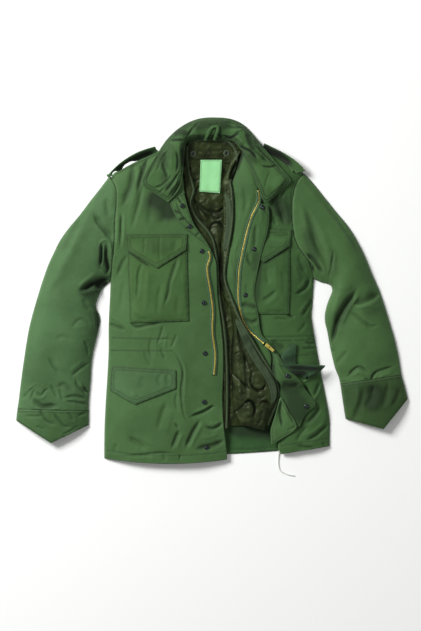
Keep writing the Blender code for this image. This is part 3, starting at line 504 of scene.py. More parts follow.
def fillOutline(ring, lines, spacing):
    # a triangulated sheet: the outline, close rows beside the sewn lines, and a lattice between
    low, high = ring.min(axis=0), ring.max(axis=0)
    rows = []
    for k, y in enumerate(np.arange(low[1] + spacing * 0.4, high[1], spacing * 0.87)):
        x = np.arange(low[0] + spacing * (0.5 if k % 2 else 0.0), high[0], spacing)
        rows.append(np.stack([x, np.full_like(x, y)], axis=1))
    lattice = np.vstack(rows) if rows else np.zeros((0, 2))
    lattice = lattice[insideOf(ring, lattice)]
    close = []
    for path in lines:
        path = evenly(path, sheets["row"])
        if len(path) < 3:
            continue
        side = inward(path)
        side[0], side[-1] = side[1], side[-2]
        close += [path, path + side * sheets["rowOff"], path - side * sheets["rowOff"]]
    tree = treeOf(ring)
    if close:
        close = np.vstack(close)
        close = clearOf(close[insideOf(ring, close)], tree, sheets["rowClear"])
    else:
        close = np.zeros((0, 2))
    gridClear = spacing * sheets["gridClear"]
    lattice = clearOf(lattice, tree, gridClear)
    if len(close):
        lattice = clearOf(lattice, treeOf(close), min(sheets["gridToRow"], gridClear))
    points = np.vstack([ring, close, lattice])
    count = len(ring)
    border = [(i, (i + 1) % count) for i in range(count)]
    verts, _, faces = delaunay_2d_cdt([Vector(p) for p in points], border, [], 1, 1e-6)[:3]
    xy = np.array([tuple(v) for v in verts])
    faces = np.array(faces)
    a, b, c = (xy[faces[:, k]] for k in range(3))
    turned = (b[:, 0] - a[:, 0]) * (c[:, 1] - a[:, 1]) - (b[:, 1] - a[:, 1]) * (c[:, 0] - a[:, 0]) < 0
    faces[turned] = faces[turned][:, ::-1]
    return xy, faces


def neighbours(faces):
    # the pairs of points that share an edge
    pairs = np.vstack([faces[:, [0, 1]], faces[:, [1, 2]], faces[:, [2, 0]]])
    return np.unique(np.sort(pairs, axis=1), axis=0)


def settle(z, pairs, held, turns):
    # evens out heights over the mesh, but not at the held points
    count = len(z)
    degree = np.bincount(pairs.ravel(), minlength=count)
    for _ in range(turns):
        total = np.bincount(pairs[:, 0], z[pairs[:, 1]], count)
        total = total + np.bincount(pairs[:, 1], z[pairs[:, 0]], count)
        mean = total / np.maximum(degree, 1)
        z = np.where(held, z, z * 0.45 + mean * 0.55)
    return z


def heightOn(tree, x, y):
    hit = tree.ray_cast(Vector((x, y, above)), below)[0]
    return None if hit is None else hit.z


def heightsOver(names, xy):
    # the height of the highest of the named pieces under each point
    high = np.full(len(xy), nothing)
    for name in names:
        for i, (x, y) in enumerate(xy):
            level = heightOn(laid[name], x, y)
            if level is not None and level > high[i]:
                high[i] = level
    return high


creasing = {
    "reach": 2.6, "margin": 3,  # how far from its line a crease is worked out, in widths and in mm more
    "fade": 3.4,  # how soon it reaches its full height, in steps of its length
    "sway": 0.16, "swayMost": 8, "swayLength": 19,  # how its line wavers, as a share of its width
    "uneven": 0.25, "unevenLength": 24,  # how its height varies along it
    "ridge": 0.62, "trough": 1.1,  # the share of the stated height that is built
    # shade, shadeGain and shadeMost set the painted shade in a crease
    "shade": 0.045,  # darkness for each mm of depth where none is stated
    "shadeGain": 1.5, "shadeMost": 1.15,
}


def creaseRise(xy, crease, seed):
    # a ridge or trough along a smooth line, uneven in height and narrower towards its ends. A crease is
    # its height (negative for a trough), its width left and right of the line, the line, and where
    # stated how much painted shade lies in it; a crease of no height is painted shade alone
    rise, left, right, spots = crease[:4]
    path = smoothThrough(spots, 8 * len(spots))
    reach = creasing["reach"] * max(left, right) + creasing["margin"]
    near = ((xy > path.min(axis=0) - reach) & (xy < path.max(axis=0) + reach)).all(axis=1)
    high, dark = np.zeros(len(xy)), np.zeros(len(xy))
    if near.any():
        side, _, along, length = nearLine(xy[near], path)
        share = along / length
        fade = np.clip(np.minimum(share, 1 - share) * creasing["fade"], 0, 1)
        fade = fade * fade * (3 - 2 * fade)
        sway = creasing["sway"] * min(left, right, creasing["swayMost"])
        side = side + sway * waver(along, creasing["swayLength"], seed + 5)
        width = np.where(side > 0, left, right) * (0.5 + 0.5 * fade)
        uneven = 1 + creasing["uneven"] * waver(along, creasing["unevenLength"], seed)
        shape = fade * uneven * np.exp(-(side / width) ** 2)
        high[near] = creasing["ridge" if rise > 0 else "trough"] * rise * shape
        shade = crease[4] if len(crease) > 4 else max(0, -creasing["shade"] * rise)
        dark[near] = shade * np.clip(creasing["shadeGain"] * shape, 0, creasing["shadeMost"])
    return high, dark


def takeSheet(node, look):
    # the outline and heights of a cloth node's upper face as a fine sheet
    points, corners = readSolid(node)
    upper = upperFaces(points, corners, look.get("slack", sheets["slack"]))
    tree = BVHTree.FromPolygons(points.tolist(), upper.tolist())
    ring = smoothRim(rimOf(upper, points), look.get("rimStep", sheets["rim"]))
    normal = inward(ring)
    edges = look.get("edges") or [(tuple(ring[0]), "free")]
    parts = edgeParts(ring, edges)
    growth = dict(sheets["growth"], under=look.get("widen", 0))
    for kind, span in parts:
        ring[span] -= normal[span] * growth.get(kind, 0)
        for spot, reach, depth in look.get("gaps", []) if kind == "under" else []:
            away = np.hypot(*(ring[span] - spot).T)
            ring[span] += normal[span] * (depth * np.exp(-(away / reach) ** 4))[:, None]
    lines = [np.array(path, float) for path in look.get("stitches", [])]
    for kind, inset in look.get("edgeStitches", []):
        lines += [insetPath(ring, span, inset) for name, span in parts if name == kind or kind == "all"]
    # a line of many points is smooth already
    lines = [smoothThrough(path, 6 * len(path)) if len(path) < 30 else path for path in lines]
    lines = [evenly(path, sheets["line"]) for path in lines]
    sharp = [smoothThrough(crease[3], 6 * len(crease[3])) for crease in look.get("creases", [])
             if min(crease[1], crease[2]) < sheets["sharpCrease"]]
    xy, faces = fillOutline(ring, lines + sharp, look.get("grid", sheets["grid"]))
    z = np.full(len(xy), np.nan)
    for i, (x, y) in enumerate(xy):
        high = heightOn(tree, x, y)
        if high is None and i < len(ring):
            for step in sheets["reachIn"]:
                high = heightOn(tree, x + normal[i][0] * step, y + normal[i][1] * step)
                if high is not None:
                    break
        if high is not None:
            z[i] = high
    pairs = neighbours(faces)
    a, b = pairs.T
    while np.isnan(z).any():
        known = ~np.isnan(z)
        total = np.bincount(a, np.where(known[b], z[b], 0), len(z))
        total = total + np.bincount(b, np.where(known[a], z[a], 0), len(z))
        count = np.bincount(a, known[b], len(z)) + np.bincount(b, known[a], len(z))
        fillable = ~known & (count > 0)
        if not fillable.any():
            z = np.where(known, z, np.nanmean(z))
            break
        z[fillable] = total[fillable] / count[fillable]
    held = np.arange(len(xy)) < len(ring)
    edgeZ = z[:len(ring)]
    for _ in range(sheets["rimTurns"]):
        edgeZ = (np.roll(edgeZ, 1) + 2 * edgeZ + np.roll(edgeZ, -1)) / 4
    z[:len(ring)] = edgeZ
    z = settle(z, pairs, held, look.get("settle", sheets["turns"]))
    return {"xy": xy, "z": z, "faces": faces, "ring": ring, "parts": parts, "lines": lines, "pairs": pairs}


sewing = {  # heights, widths and reaches in mm; a swing is the length of one wave along a line
    "hills": [(52, 0.75), (23, 0.32), (8.5, 0.10)],  # size across and share of the wrinkle's height
    "facets": [(15, 1), (8, 0.5)],  # the same for the facets of thin lining cloth
    "hillsFrom": 9, "facetsFrom": 6, "swellFrom": 16,  # how far inside an edge they are in full
    "side": {"reach": 6.0, "low": 0.6},
    # a seam and a sewn line carry painted shade in their groove: dark is how much, shade how wide
    "seam": {"depth": 1.5, "width": 2.0, "pucker": 0.55, "swing": 7.5, "reach": 11,
             "dark": 0.4, "shade": 1.8},
    "hem": {"rise": 0.7, "width": 20, "soft": 0.8, "ripple": 0.5, "swing": 16, "reach": 15},
    "stitched": {"depth": 0.55, "width": 1.1, "pucker": 0.3, "swing": 8, "reach": 7,
                 "dark": 0.36, "shade": 1.5},
    # edgeShade is how far in from its rim a piece's painted edge shade reaches
    "edgeShade": 1.9, "darkest": 0.97,
    "rise": 1.8, "clear": 1.55, "slack": 0.3,  # over the pieces below
    "wrinkle": 0.8, "floor": 1.3,
}


def bell(distance, width):
    return np.exp(-(distance / width) ** 2)


def rounded(away, reach):
    # from 0 at an edge to 1 at its reach, along a quarter of a circle
    return np.sqrt(np.clip(1 - (1 - np.clip(away / reach, 0, 1)) ** 2, 0, 1))


def shapeSheet(sheet, look, seed):
    # lays the sheet on the pieces below, then adds folds, hems, seams and sewn grooves, with the painted
    # shade that goes with them
    xy, z = sheet["xy"], sheet["z"]
    x, y = xy.T
    ring = sheet["ring"]
    free = np.zeros(len(z), bool)
    inside = nearLine(xy, np.vstack([ring, ring[:1]]))[1]
    if "restsOn" in look:
        under = heightsOver(look["restsOn"], xy)
        if look.get("follows"):
            swell = look.get("swell", 0) * np.clip(inside / sewing["swellFrom"], 0, 1)
            z = np.where(under > nothing, under + look.get("rise", sewing["rise"]) + swell, z)
            z = settle(z, sheet["pairs"], free, look["follows"])
    hills = sum(share * drift(x, y, size, seed + k) for k, (size, share) in enumerate(sewing["hills"]))
    z = z + look.get("wrinkle", sewing["wrinkle"]) * hills * np.clip(inside / sewing["hillsFrom"], 0.15, 1)
    shade = np.zeros(len(xy))
    if look.get("crumple"):
        # thin lining cloth breaks into small facets with sharp edges
        facets = sum(share * np.abs(drift(x, y, size, seed + 6 + k))
                     for k, (size, share) in enumerate(sewing["facets"]))
        z = z + look["crumple"] * (1 - 2 * facets) * np.clip(inside / sewing["facetsFrom"], 0.2, 1)
    for number, crease in enumerate(look.get("creases", [])):
        high, dark = creaseRise(xy, crease, seed + 11 * number)
        z = z + high * np.clip(0.35 + inside / sewing["hillsFrom"], 0, 1)
        shade = np.maximum(shade, dark)
    for kind, span in sheet["parts"]:
        if kind not in ("side", "seam", "hem"):
            continue
        _, away, along, _ = nearLine(xy, ring[span])
        form = sewing[kind]
        if kind == "side":
            reach = look.get("sideReach", form["reach"])
            low = look.get("sideLow", form["low"])
            z = np.where(away < reach, low + (z - low) * rounded(away, reach), z)
        if kind == "seam":
            pucker = form["pucker"] * waver(along, form["swing"], seed + 3) * np.exp(-away / form["reach"])
            z = z - form["depth"] * bell(away, form["width"]) + pucker
            shade = np.maximum(shade, form["dark"] * bell(away, form["shade"]))
        if kind == "hem":
            z = z + form["rise"] / (1 + np.exp(np.clip((away - form["width"]) / form["soft"], -30, 30)))
            z = z + form["ripple"] * waver(along, form["swing"], seed + 4) * np.exp(-away / form["reach"])
    form = sewing["stitched"]
    for number, path in enumerate(sheet["lines"]):
        _, away, along, _ = nearLine(xy, path)
        pucker = form["pucker"] * waver(along, form["swing"], seed + 20 + number)
        pucker = pucker * np.exp(-away / form["reach"])
        z = z - look.get("groove", form["depth"]) * bell(away, form["width"]) + pucker
        dark = look.get("sewnShade", form["dark"]) * bell(away, look.get("sewnWidth", form["shade"]))
        shade = np.maximum(shade, dark)
    # painted shade along the piece's own rim, standing in for the shadow at a turned edge
    shade = np.maximum(shade, look.get("edgeShade", 0) * bell(inside, sewing["edgeShade"]))
    sheet["shade"] = np.minimum(shade, sewing["darkest"])
    if "restsOn" in look:
        lowest = under + look.get("clear", sewing["clear"])
        z = np.maximum(z, lowest)
        lift = settle(z, sheet["pairs"], free, 2)
        z = np.maximum(np.where(z <= lowest + sewing["slack"], lift, z), lowest)
    sheet["z"] = np.maximum(z, look.get("floor", sewing["floor"]))
    return sheet


stitch = {
    "pitch": 3.4, "length": 2.5, "width": 0.62, "height": 0.5,
    "sunk": 0.12,  # into the cloth
    # a low ridge on six sides, in shares of the length, the width and the height
    "corners": [(-0.5, 0, 0), (-0.2, 0.5, 0), (0.2, 0.5, 0), (0.5, 0, 0), (0.2, -0.5, 0), (-0.2, -0.5, 0),
                (-0.22, 0, 1), (0.22, 0, 1)],
    "faces": [(0, 5, 6), (5, 4, 7, 6), (4, 3, 7), (3, 2, 7), (2, 1, 6, 7), (1, 0, 6)],
}


def sewThread(name, sheet, tree):
    # one small stitch after another along each sewn line
    points, faces = [], []
    for path in sheet["lines"]:
        spots = evenly(path, stitch["pitch"])
        for a, b in zip(spots[:-1], spots[1:]):
            middle = (a + b) / 2
            high = heightOn(tree, middle[0], middle[1])
            if high is None:
                continue
            run = (b - a) / max(np.linalg.norm(b - a), 1e-6)
            side = np.array([-run[1], run[0]])
            start = len(points)
            for along, over, up in stitch["corners"]:
                spot = middle + run * along * stitch["length"] + side * over * stitch["width"]
                points.append((spot[0], spot[1], high - stitch["sunk"] + up * stitch["height"]))
            faces += [tuple(start + k for k in f) for f in stitch["faces"]]
    if not points:
        return None
    made = makeMesh(name, points, faces, sewingThread)
    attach(made, "jacket")
    return made


def thicken(made, thickness):
    # gives a sheet its thickness, from its upper side down
    solidify = made.modifiers.new("thickness", "SOLIDIFY")
    solidify.thickness = thickness * mm
    solidify.offset = -1


def layCloth(node, name, material, look, seed):
    # makes one piece of cloth with its stitches in place of a node
    sheet = shapeSheet(takeSheet(node, look), look, seed)
    points = np.column_stack([sheet["xy"], sheet["z"]])
    faces = sheet["faces"]
    tree = BVHTree.FromPolygons(points.tolist(), faces.tolist())
    laid[name] = tree
    shade = sheet["shade"]
    if look.get("tube"):
        points, faces, shade = closeTube(sheet, points, faces, look)
    made = makeMesh(name, points, faces, material)
    # the painted shade of each point, which the cloth materials mix in as darkness
    made.data.attributes.new("paintedShade", "FLOAT", "POINT").data.foreach_set("value", shade)
    thicken(made, look["thickness"])
    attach(made, "jacket")
    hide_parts(node)
    thread = sewThread(name + "Stitching", sheet, tree)
    print(name, len(points), "points")


underside = {"grid": 9.0, "reach": 6, "height": 0.35}


def closeTube(sheet, points, faces, look):
    # adds the flat underside of a sleeve or a cuff, joined to the upper sheet along its sides
    ring = sheet["ring"]
    count = len(ring)
    joined = np.zeros(count, bool)
    for kind, span in sheet["parts"]:
        if kind == "side":
            joined[span] = True
    lowXy, lowFaces = fillOutline(ring, [], underside["grid"])
    sides = [np.array(ring[span]) for kind, span in sheet["parts"] if kind == "side"]
    away = np.min([nearLine(lowXy, path)[1] for path in sides], axis=0)
    flat = underside["height"]
    lowZ = flat + (look["sideLow"] - flat) * (1 - rounded(away, underside["reach"]))
    start = len(points)
    index = np.arange(len(lowXy)) + start
    index[:count] = np.where(joined, np.arange(count), index[:count])
    low = np.column_stack([lowXy, lowZ])
    allPoints = np.vstack([points, low])
    allFaces = np.vstack([faces, index[lowFaces][:, ::-1]])
    used, inverse = np.unique(allFaces, return_inverse=True)
    shade = np.concatenate([sheet["shade"], np.zeros(len(low))])
    return allPoints[used], inverse.reshape(allFaces.shape), shade[used]


# painted shade: the back, the left front, the left cuff and the shade side have darker tones than the cloth
# itself, standing in for shade; the shade side dresses the fly fold and the lower left flap, which lie in
# shadow
greens = {  # the paler and the deeper tone of the dye in each place
    "front": ("#446439", "#3a5830"), "frontLeft": ("#3b5c30", "#314f28"), "pocket": ("#3f5f31", "#355329"),
    "sleeveRight": ("#45653e", "#3b5833"), "sleeveLeft": ("#446538", "#3a5830"),
    "collar": ("#3d5d31", "#304e27"), "back": ("#31552a", "#294723"), "cuff": ("#44633b", "#38562f"),
    "cuffLeft": ("#354f28", "#2a4320"), "fly": ("#3c5c30", "#32502a"), "shadeSide": ("#2d4b2f", "#253f27"),
}
cloths = {key: sateen("olive cotton sateen, " + key, *pair) for key, pair in greens.items()}

backLook = {
    "grid": 6.0, "settle": 0, "wrinkle": 0.25, "thickness": 1.0, "floor": 1.2,
    "flat": (0.62, 0.80), "area": 0.40, "rests": [],
    "edges": [((-60, 386), "under"), ((-252, 286), "seam"), ((-251, 28), "free"), ((252, 28), "seam"),
              ((229, 289), "under")],
    "gaps": [((-93, 369), 28, -14), ((95, 366), 28, -14)],  # it runs on under the collar's leaves
    "creases": [
        (1.6, 9, 6, [(50, -345), (70, -380), (62, -410)]),
        (-1.6, 8, 8, [(110, -350), (100, -395)], 0.1),
        (-3, 7, 7, [(36, -335), (44, -360), (40, -392)], 0.3),
        (1.8, 5, 9, [(130, -345), (142, -378), (150, -402)]),
        (-0.6, 17, 17, [(10, -342), (90, -352), (180, -360)], 0.6),
        (-0.8, 3, 3, [(30, -398), (90, -396), (160, -390)], 0.2),
    ],
}
frontRightLook = {
    "thickness": 1.2, "flat": (0.33, 0.80), "area": 0.200, "rests": ["backCloth"],
    "edges": [((-90, 351), "free"), ((-132, 344), "side"), ((-253, 286), "seam"), ((-253, 24), "side"),
              ((-269, -419), "hem"), ((38, -422), "free")],
    "edgeStitches": [("hem", 20)],
    "stitches": [[(-250, -119), (-170, -121), (-100, -121)], [(-252, -150), (-170, -151), (-98, -151)]],
    "creases": [
        # from the shoulder seam down
        (-3.5, 5, 8, [(-194, 330), (-200, 276), (-212, 236), (-228, 201)], 0.38),
        (-3.5, 3, 6, [(-158, 338), (-170, 303), (-180, 268), (-186, 236)], 0.62),
        (2, 5, 6, [(-181, 330), (-187, 266), (-197, 226), (-208, 189)]),
        (-2.6, 4, 6, [(-171, 275), (-180, 226), (-192, 181), (-203, 146)], 0.16),
        (0.7, 7, 7, [(-157, 235), (-165, 191), (-170, 156)]),
        (-1, 7, 7, [(-146, 235), (-154, 191), (-157, 156)], 0.08),
        (0.7, 7, 7, [(-128, 228), (-136, 190), (-140, 158)]),
        (-0.8, 7, 7, [(-112, 222), (-119, 186), (-124, 156)], 0.06),
        (-1, 12, 34, [(-170, 252), (-138, 230), (-110, 208), (-86, 164)], 0.7),
        (-1.6, 5, 5, [(-176, 316), (-174, 286)], 0.25),
        # beside the armhole
        (-3.6, 2.4, 2.4, [(-226, 200), (-227, 151), (-229, 100)], 0.25),
        (2.6, 2.6, 3, [(-235, 200), (-236, 150), (-238, 95)]),
        (2, 3, 4, [(-219, 200), (-219, 151), (-221, 98)]),
        (-2.8, 5, 5, [(-210, 92), (-225, 61), (-238, 32)], 0.1),
        (1.6, 4, 5, [(-224, 90), (-238, 55), (-247, 20)]),
        (-1.6, 6, 6, [(-218, 30), (-226, -20), (-232, -60)]),
        # waist, side and below the pocket
        (2.8, 3, 3, [(-258, -64), (-235, -76), (-215, -91), (-198, -108)]),
        (-4.2, 4, 4, [(-262, -80), (-237, -91), (-213, -100)], 0.25),
        (-4, 4, 3, [(-208, -80), (-187, -91), (-162, -87), (-120, -81)], 0.4),
        (-2, 4, 4, [(-150, -112), (-155, -149), (-147, -178)], 0.06),
        (-2.2, 3, 3, [(-121, -82), (-127, -109), (-138, -136)]),
        (-2.6, 2.5, 3, [(-128, -140), (-122, -159), (-113, -174)], 0.12),
        (-2.2, 2.6, 3, [(-86, -106), (-95, -129), (-103, -146)]),
        (1.8, 3, 3, [(-112, -100), (-116, -130), (-120, -150)]),
        (-1.6, 4, 4, [(-171, -150), (-160, -174), (-149, -192)]),
        (1.6, 3, 4, [(-138, -120), (-140, -146), (-136, -168)]),
        (-1.4, 2, 3, [(-104, -119), (-117, -121), (-133, -124)], 0.1),
        (-3, 2.4, 2.4, [(-103, -144), (-86, -167), (-74, -195), (-73, -219), (-77, -249), (-75, -281),
                        (-69, -314), (-54, -341)], 0.3),
        (1.6, 4, 3, [(-94, -146), (-78, -167), (-66, -195), (-65, -222), (-68, -280)]),
        # skirt and hem
        (-2, 2.6, 3, [(-87, -250), (-90, -279), (-84, -306)], 0.1),
        (-2.8, 7, 7, [(-113, -272), (-125, -314), (-136, -352)], 0.06),
        (2, 6, 6, [(-98, -290), (-108, -330), (-116, -362)]),
        (-3, 2.2, 2.2, [(-92, -330), (-82, -346)], 0.2),
        (-4.2, 4, 4.5, [(-79, -345), (-90, -369), (-102, -398)], 0.22),
        (2.4, 4, 4, [(-68, -352), (-80, -375), (-88, -402)]),
        (-5.2, 4, 4.5, [(-27, -318), (-45, -349), (-58, -374), (-67, -400)], 0.38),
        (3, 4, 4, [(-17, -324), (-33, -350), (-46, -376), (-56, -402)]),
        (-5, 2.6, 4.5, [(-60, -318), (-40, -309), (-20, -301), (-2, -290), (13, -290)], 0.4),
        (2.6, 4, 3, [(-50, -307), (-32, -300), (-12, -291), (2, -281)]),
        (-4.2, 3, 4, [(-20, -337), (-2, -344), (12, -341), (30, -327)], 0.32),
        (2.6, 4, 3, [(-8, -330), (6, -333), (20, -327)]),
        (-5, 6, 6, [(-46, -398), (-17, -391), (7, -386), (34, -370)], 0.42),
        (2.4, 6, 4, [(-30, -365), (-6, -366), (20, -357)]),
        (-3.8, 4, 7, [(-210, -361), (-187, -379), (-160, -398)], 0.12),
        (2.4, 5, 3, [(-196, -356), (-172, -374), (-150, -388)]),
        (-3, 3.5, 3, [(-226, -412), (-180, -411), (-130, -406), (-84, -406)], 0.18),
        (-2.5, 2, 2, [(-80, -409), (-79, -424)], 0.1),
        (-2, 5, 5, [(-240, -380), (-244, -410)]),
        (1.8, 4, 4, [(-150, -405), (-146, -428)]),
        (-1.8, 4, 4, [(-120, -404), (-117, -428)]),
    ],
}
frontLeftLook = {
    "thickness": 1.2, "flat": (0.33, 0.80), "area": 0.150, "rests": ["backCloth"],
    "edges": [((130, 354), "free"), ((88, 351), "free"), ((172, -409), "hem"), ((294, -389), "side"),
              ((253, 27), "seam"), ((229, 289), "side")],
    "edgeStitches": [("hem", 20)],
    "stitches": [[(128, -116), (190, -115), (256, -113)], [(140, -126), (200, -125), (258, -123)],
                 [(172, -164), (220, -162), (264, -160)]],
    "creases": [
        # beside the collar and the armhole
        (-5, 6, 6, [(160, 232), (172, 196), (184, 160)], 0.3),
        (-3.2, 2.6, 2.6, [(181, 254), (172, 226)], 0.2),
        (2.4, 5, 5, [(176, 226), (186, 196), (194, 165)]),
        (-2.6, 2.5, 3, [(200, 262), (200, 220), (200, 186)], 0.2),
        (-2, 5, 6, [(214, 200), (212, 150), (214, 112)]),
        (1.8, 4, 5, [(206, 210), (205, 160), (207, 118)]),
        (-2.4, 4, 4, [(152, 188), (160, 160)], 0.1),
        (-1, 22, 22, [(166, 256), (184, 206), (196, 150)], 0.5),
        (0, 16, 14, [(148, 246), (160, 222), (168, 200), (170, 172)], 0.62),
        (-1, 3.6, 4, [(143, 216), (147, 190), (144, 160)], 0.6),
        (0, 14, 14, [(222, 240), (232, 160), (236, 100)], 0.36),
        # the side
        (-4.2, 4, 4, [(204, -12), (225, -1), (238, 14), (243, 36)], 0.25),
        (2.4, 4, 4, [(212, 6), (226, 14), (233, 32)]),
        (-3.8, 4, 4, [(258, -12), (240, -39), (224, -70)], 0.2),
        (2.4, 4, 4, [(246, -18), (229, -42), (214, -64)]),
        (-3, 5, 5, [(214, 92), (224, 60), (236, 40)], 0.1),
        (1.8, 5, 5, [(204, 70), (214, 40), (222, 20)]),
        (-3.4, 3, 3.5, [(186, -58), (199, -66), (204, -60)], 0.35),
        (-1.8, 3, 3, [(150, -70), (180, -71), (196, -72)], 0.1),
        (-2, 4, 4, [(236, -78), (224, -96), (210, -104)], 0.08),
        (6, 5, 16, [(262, -56), (261, -100), (268, -140)]),
        # waist
        (0, 10, 6, [(111, -30), (115, -80), (127, -122)], 0.45),
        (-4, 9, 9, [(146, -122), (166, -140), (186, -150)], 0.4),
        (-2.2, 2.5, 3, [(228, -128), (246, -132), (262, -130)], 0.12),
        (-2, 2.5, 2.5, [(222, -143), (242, -146), (264, -142)], 0.1),
        (1.6, 3, 3, [(224, -136), (246, -139), (264, -136)]),
        (1.6, 4, 4, [(196, -120), (210, -132), (206, -152)]),
        # skirt
        (5.5, 2.6, 3.2, [(219, -233), (245, -219), (278, -197)]),
        (-6, 5, 5.5, [(226, -231), (239, -256), (251, -273)], 0.5),
        (-3, 4, 3, [(224, -222), (250, -207), (272, -195)], 0.75),
        (-4, 6, 5, [(214, -243), (222, -262), (236, -282)], 0.35),
        (3.6, 4, 5, [(277, -219), (266, -252), (252, -275), (232, -299)]),
        (2.6, 4, 4, [(258, -280), (238, -296), (218, -318)]),
        (-4.2, 4, 4, [(270, -224), (262, -250), (252, -268)], 0.2),
        (-5, 5, 5, [(266, -280), (264, -300), (252, -318), (232, -336)], 0.35),
        (-4, 5, 8, [(206, -243), (196, -272), (206, -310), (214, -350)], 0.42),
        (-3.2, 7, 7, [(184, -252), (196, -300), (210, -340)], 0.3),
        (-1, 16, 16, [(190, -240), (214, -300), (228, -362)], 0.4),
        (-1, 12, 12, [(186, -196), (240, -206), (268, -214)], 0.45),
        (3.4, 8, 8, [(286, -270), (284, -310), (272, -342)]),
        (-4.4, 3, 4.5, [(295, -330), (275, -349), (257, -364), (230, -376)], 0.3),
        (2.6, 4, 3, [(288, -322), (268, -340), (248, -354), (224, -364)]),
        (-2.8, 4, 4, [(240, -338), (222, -356), (210, -378)], 0.2),
        (-3.6, 4, 4, [(208, -384), (236, -392), (262, -394)], 0.25),
        (-2, 3, 3, [(276, -376), (284, -398)], 0.1),
    ],
}
sleeveRightLook = {
    "tube": True, "thickness": 1.0, "sideReach": 6.0, "sideLow": 2.6, "floor": 2.0,
    "flat": (0.50, 0.62), "area": 0.21, "rests": ["floor"],
    "edges": [((-256, 286), "side"), ((-486, -296), "seam"), ((-308, -301), "side"), ((-254, 26), "seam")],
    "creases": [
        # along the upper arm
        (6.5, 16, 9, [(-288, 232), (-318, 171), (-345, 114), (-370, 71), (-395, 26), (-412, -20)]),
        (-2, 6, 6, [(-325, 198), (-350, 139), (-376, 88)]),
        (1.6, 5, 5, [(-344, 168), (-370, 124), (-392, 84)]),
        (-5, 9, 5, [(-297, 197), (-283, 168), (-265, 146), (-244, 120)], 0.28),
        (2.2, 5, 5, [(-294, 172), (-277, 148), (-262, 126)]),
        (-2.6, 7, 7, [(-262, 236), (-262, 206), (-258, 178)], 0.08),
        (2, 6, 6, [(-252, 262), (-248, 232), (-250, 206)]),
        # the armpit
        (-7, 3.2, 3.2, [(-276, 121), (-275, 91), (-279, 56)], 0.65),
        (-9, 4.6, 4.6, [(-262, 121), (-264, 86), (-259, 56), (-268, 36)], 0.8),
        (3.2, 3, 3, [(-282, 66), (-281, 109), (-270, 125), (-256, 121), (-250, 94), (-246, 60)]),
        (2.5, 2.5, 2.5, [(-269, 110), (-270, 88), (-272, 64)]),
        (2.4, 2.4, 2.4, [(-281, 54), (-270, 42), (-256, 34)]),
        (-15, 7, 7, [(-334, -2), (-300, 14), (-273, 25), (-250, 29)], 0.92),
        (-9, 8, 8, [(-296, 8), (-272, 14), (-252, 18)], 0.92),
        (3.4, 4, 9, [(-334, 8), (-304, 34), (-286, 48)]),
        (3.2, 9, 3, [(-274, -1), (-300, -2), (-336, -7)]),
        (-2, 6, 6, [(-322, -16), (-312, -40), (-300, -52)], 0.08),
        (0, 12, 16, [(-342, -8), (-300, 4), (-258, 14)], 0.5),
        (0, 9, 9, [(-286, 130), (-276, 90), (-284, 44)], 0.4),
        (0, 12, 12, [(-300, -30), (-290, -80), (-292, -130)], 0.3),
        # the elbow and the lower arm
        (-4, 3.5, 3.5, [(-289, -42), (-285, -74), (-286, -106)], 0.65),
        (2.2, 2.4, 2.4, [(-296, -36), (-293, -69), (-288, -106)]),
        (-2, 5, 3.2, [(-352, -98), (-340, -81), (-325, -73), (-312, -79), (-298, -92)], 0.15),
        (-1.2, 5, 5, [(-392, -121), (-370, -115), (-346, -124)], 0.05),
        (1.4, 6, 4, [(-340, -98), (-322, -90), (-308, -98)]),
        (-2.6, 3.4, 4, [(-408, -163), (-395, -189), (-376, -210)], 0.15),
        (1.8, 5, 5, [(-396, -158), (-380, -184), (-362, -206)]),
        (-2.8, 3, 4, [(-306, -178), (-330, -196), (-353, -217)], 0.18),
        (1.8, 4, 4, [(-318, -172), (-336, -186), (-356, -204)]),
        (-1.8, 3, 3, [(-322, -120), (-312, -144), (-309, -170)], 0.1),
        (-3.2, 6, 6, [(-388, -243), (-372, -234), (-360, -239), (-344, -257)], 0.22),
        (-2.8, 3, 3, [(-342, -216), (-335, -239), (-320, -254), (-310, -272)], 0.2),
        (-3.4, 2.4, 2.6, [(-324, -236), (-308, -259)], 0.55),
        (1.8, 3, 3, [(-332, -222), (-322, -240), (-310, -252)]),
        # gathers over the cuff
        (-2.2, 3, 3, [(-473, -272), (-457, -251), (-440, -243)], 0.12),
        (-2.4, 2.6, 2.6, [(-453, -277), (-447, -259), (-441, -244)], 0.15),
        (-2.4, 2.6, 2.6, [(-444, -249), (-427, -261), (-415, -249), (-402, -245)], 0.15),
        (2, 3, 3, [(-440, -262), (-427, -270), (-410, -258)]),
        (-2.4, 3, 3, [(-403, -233), (-392, -254), (-384, -272)], 0.12),
        (-2, 3, 3, [(-381, -240), (-375, -264), (-368, -278)], 0.1),
        (-4.6, 6, 6, [(-452, -268), (-430, -284), (-410, -289), (-380, -285)], 0.42),
        (2.4, 4, 4, [(-460, -280), (-440, -293), (-418, -297)]),
        (-3.4, 3.4, 3.4, [(-374, -269), (-340, -264), (-306, -271)], 0.3),
        (-2.6, 2.6, 2.6, [(-368, -276), (-342, -279), (-306, -285)], 0.22),
        (2.2, 2.6, 2.6, [(-366, -272), (-340, -272), (-308, -278)]),
        (1.8, 3, 3, [(-466, -262), (-450, -240), (-436, -230)]),
    ],
}
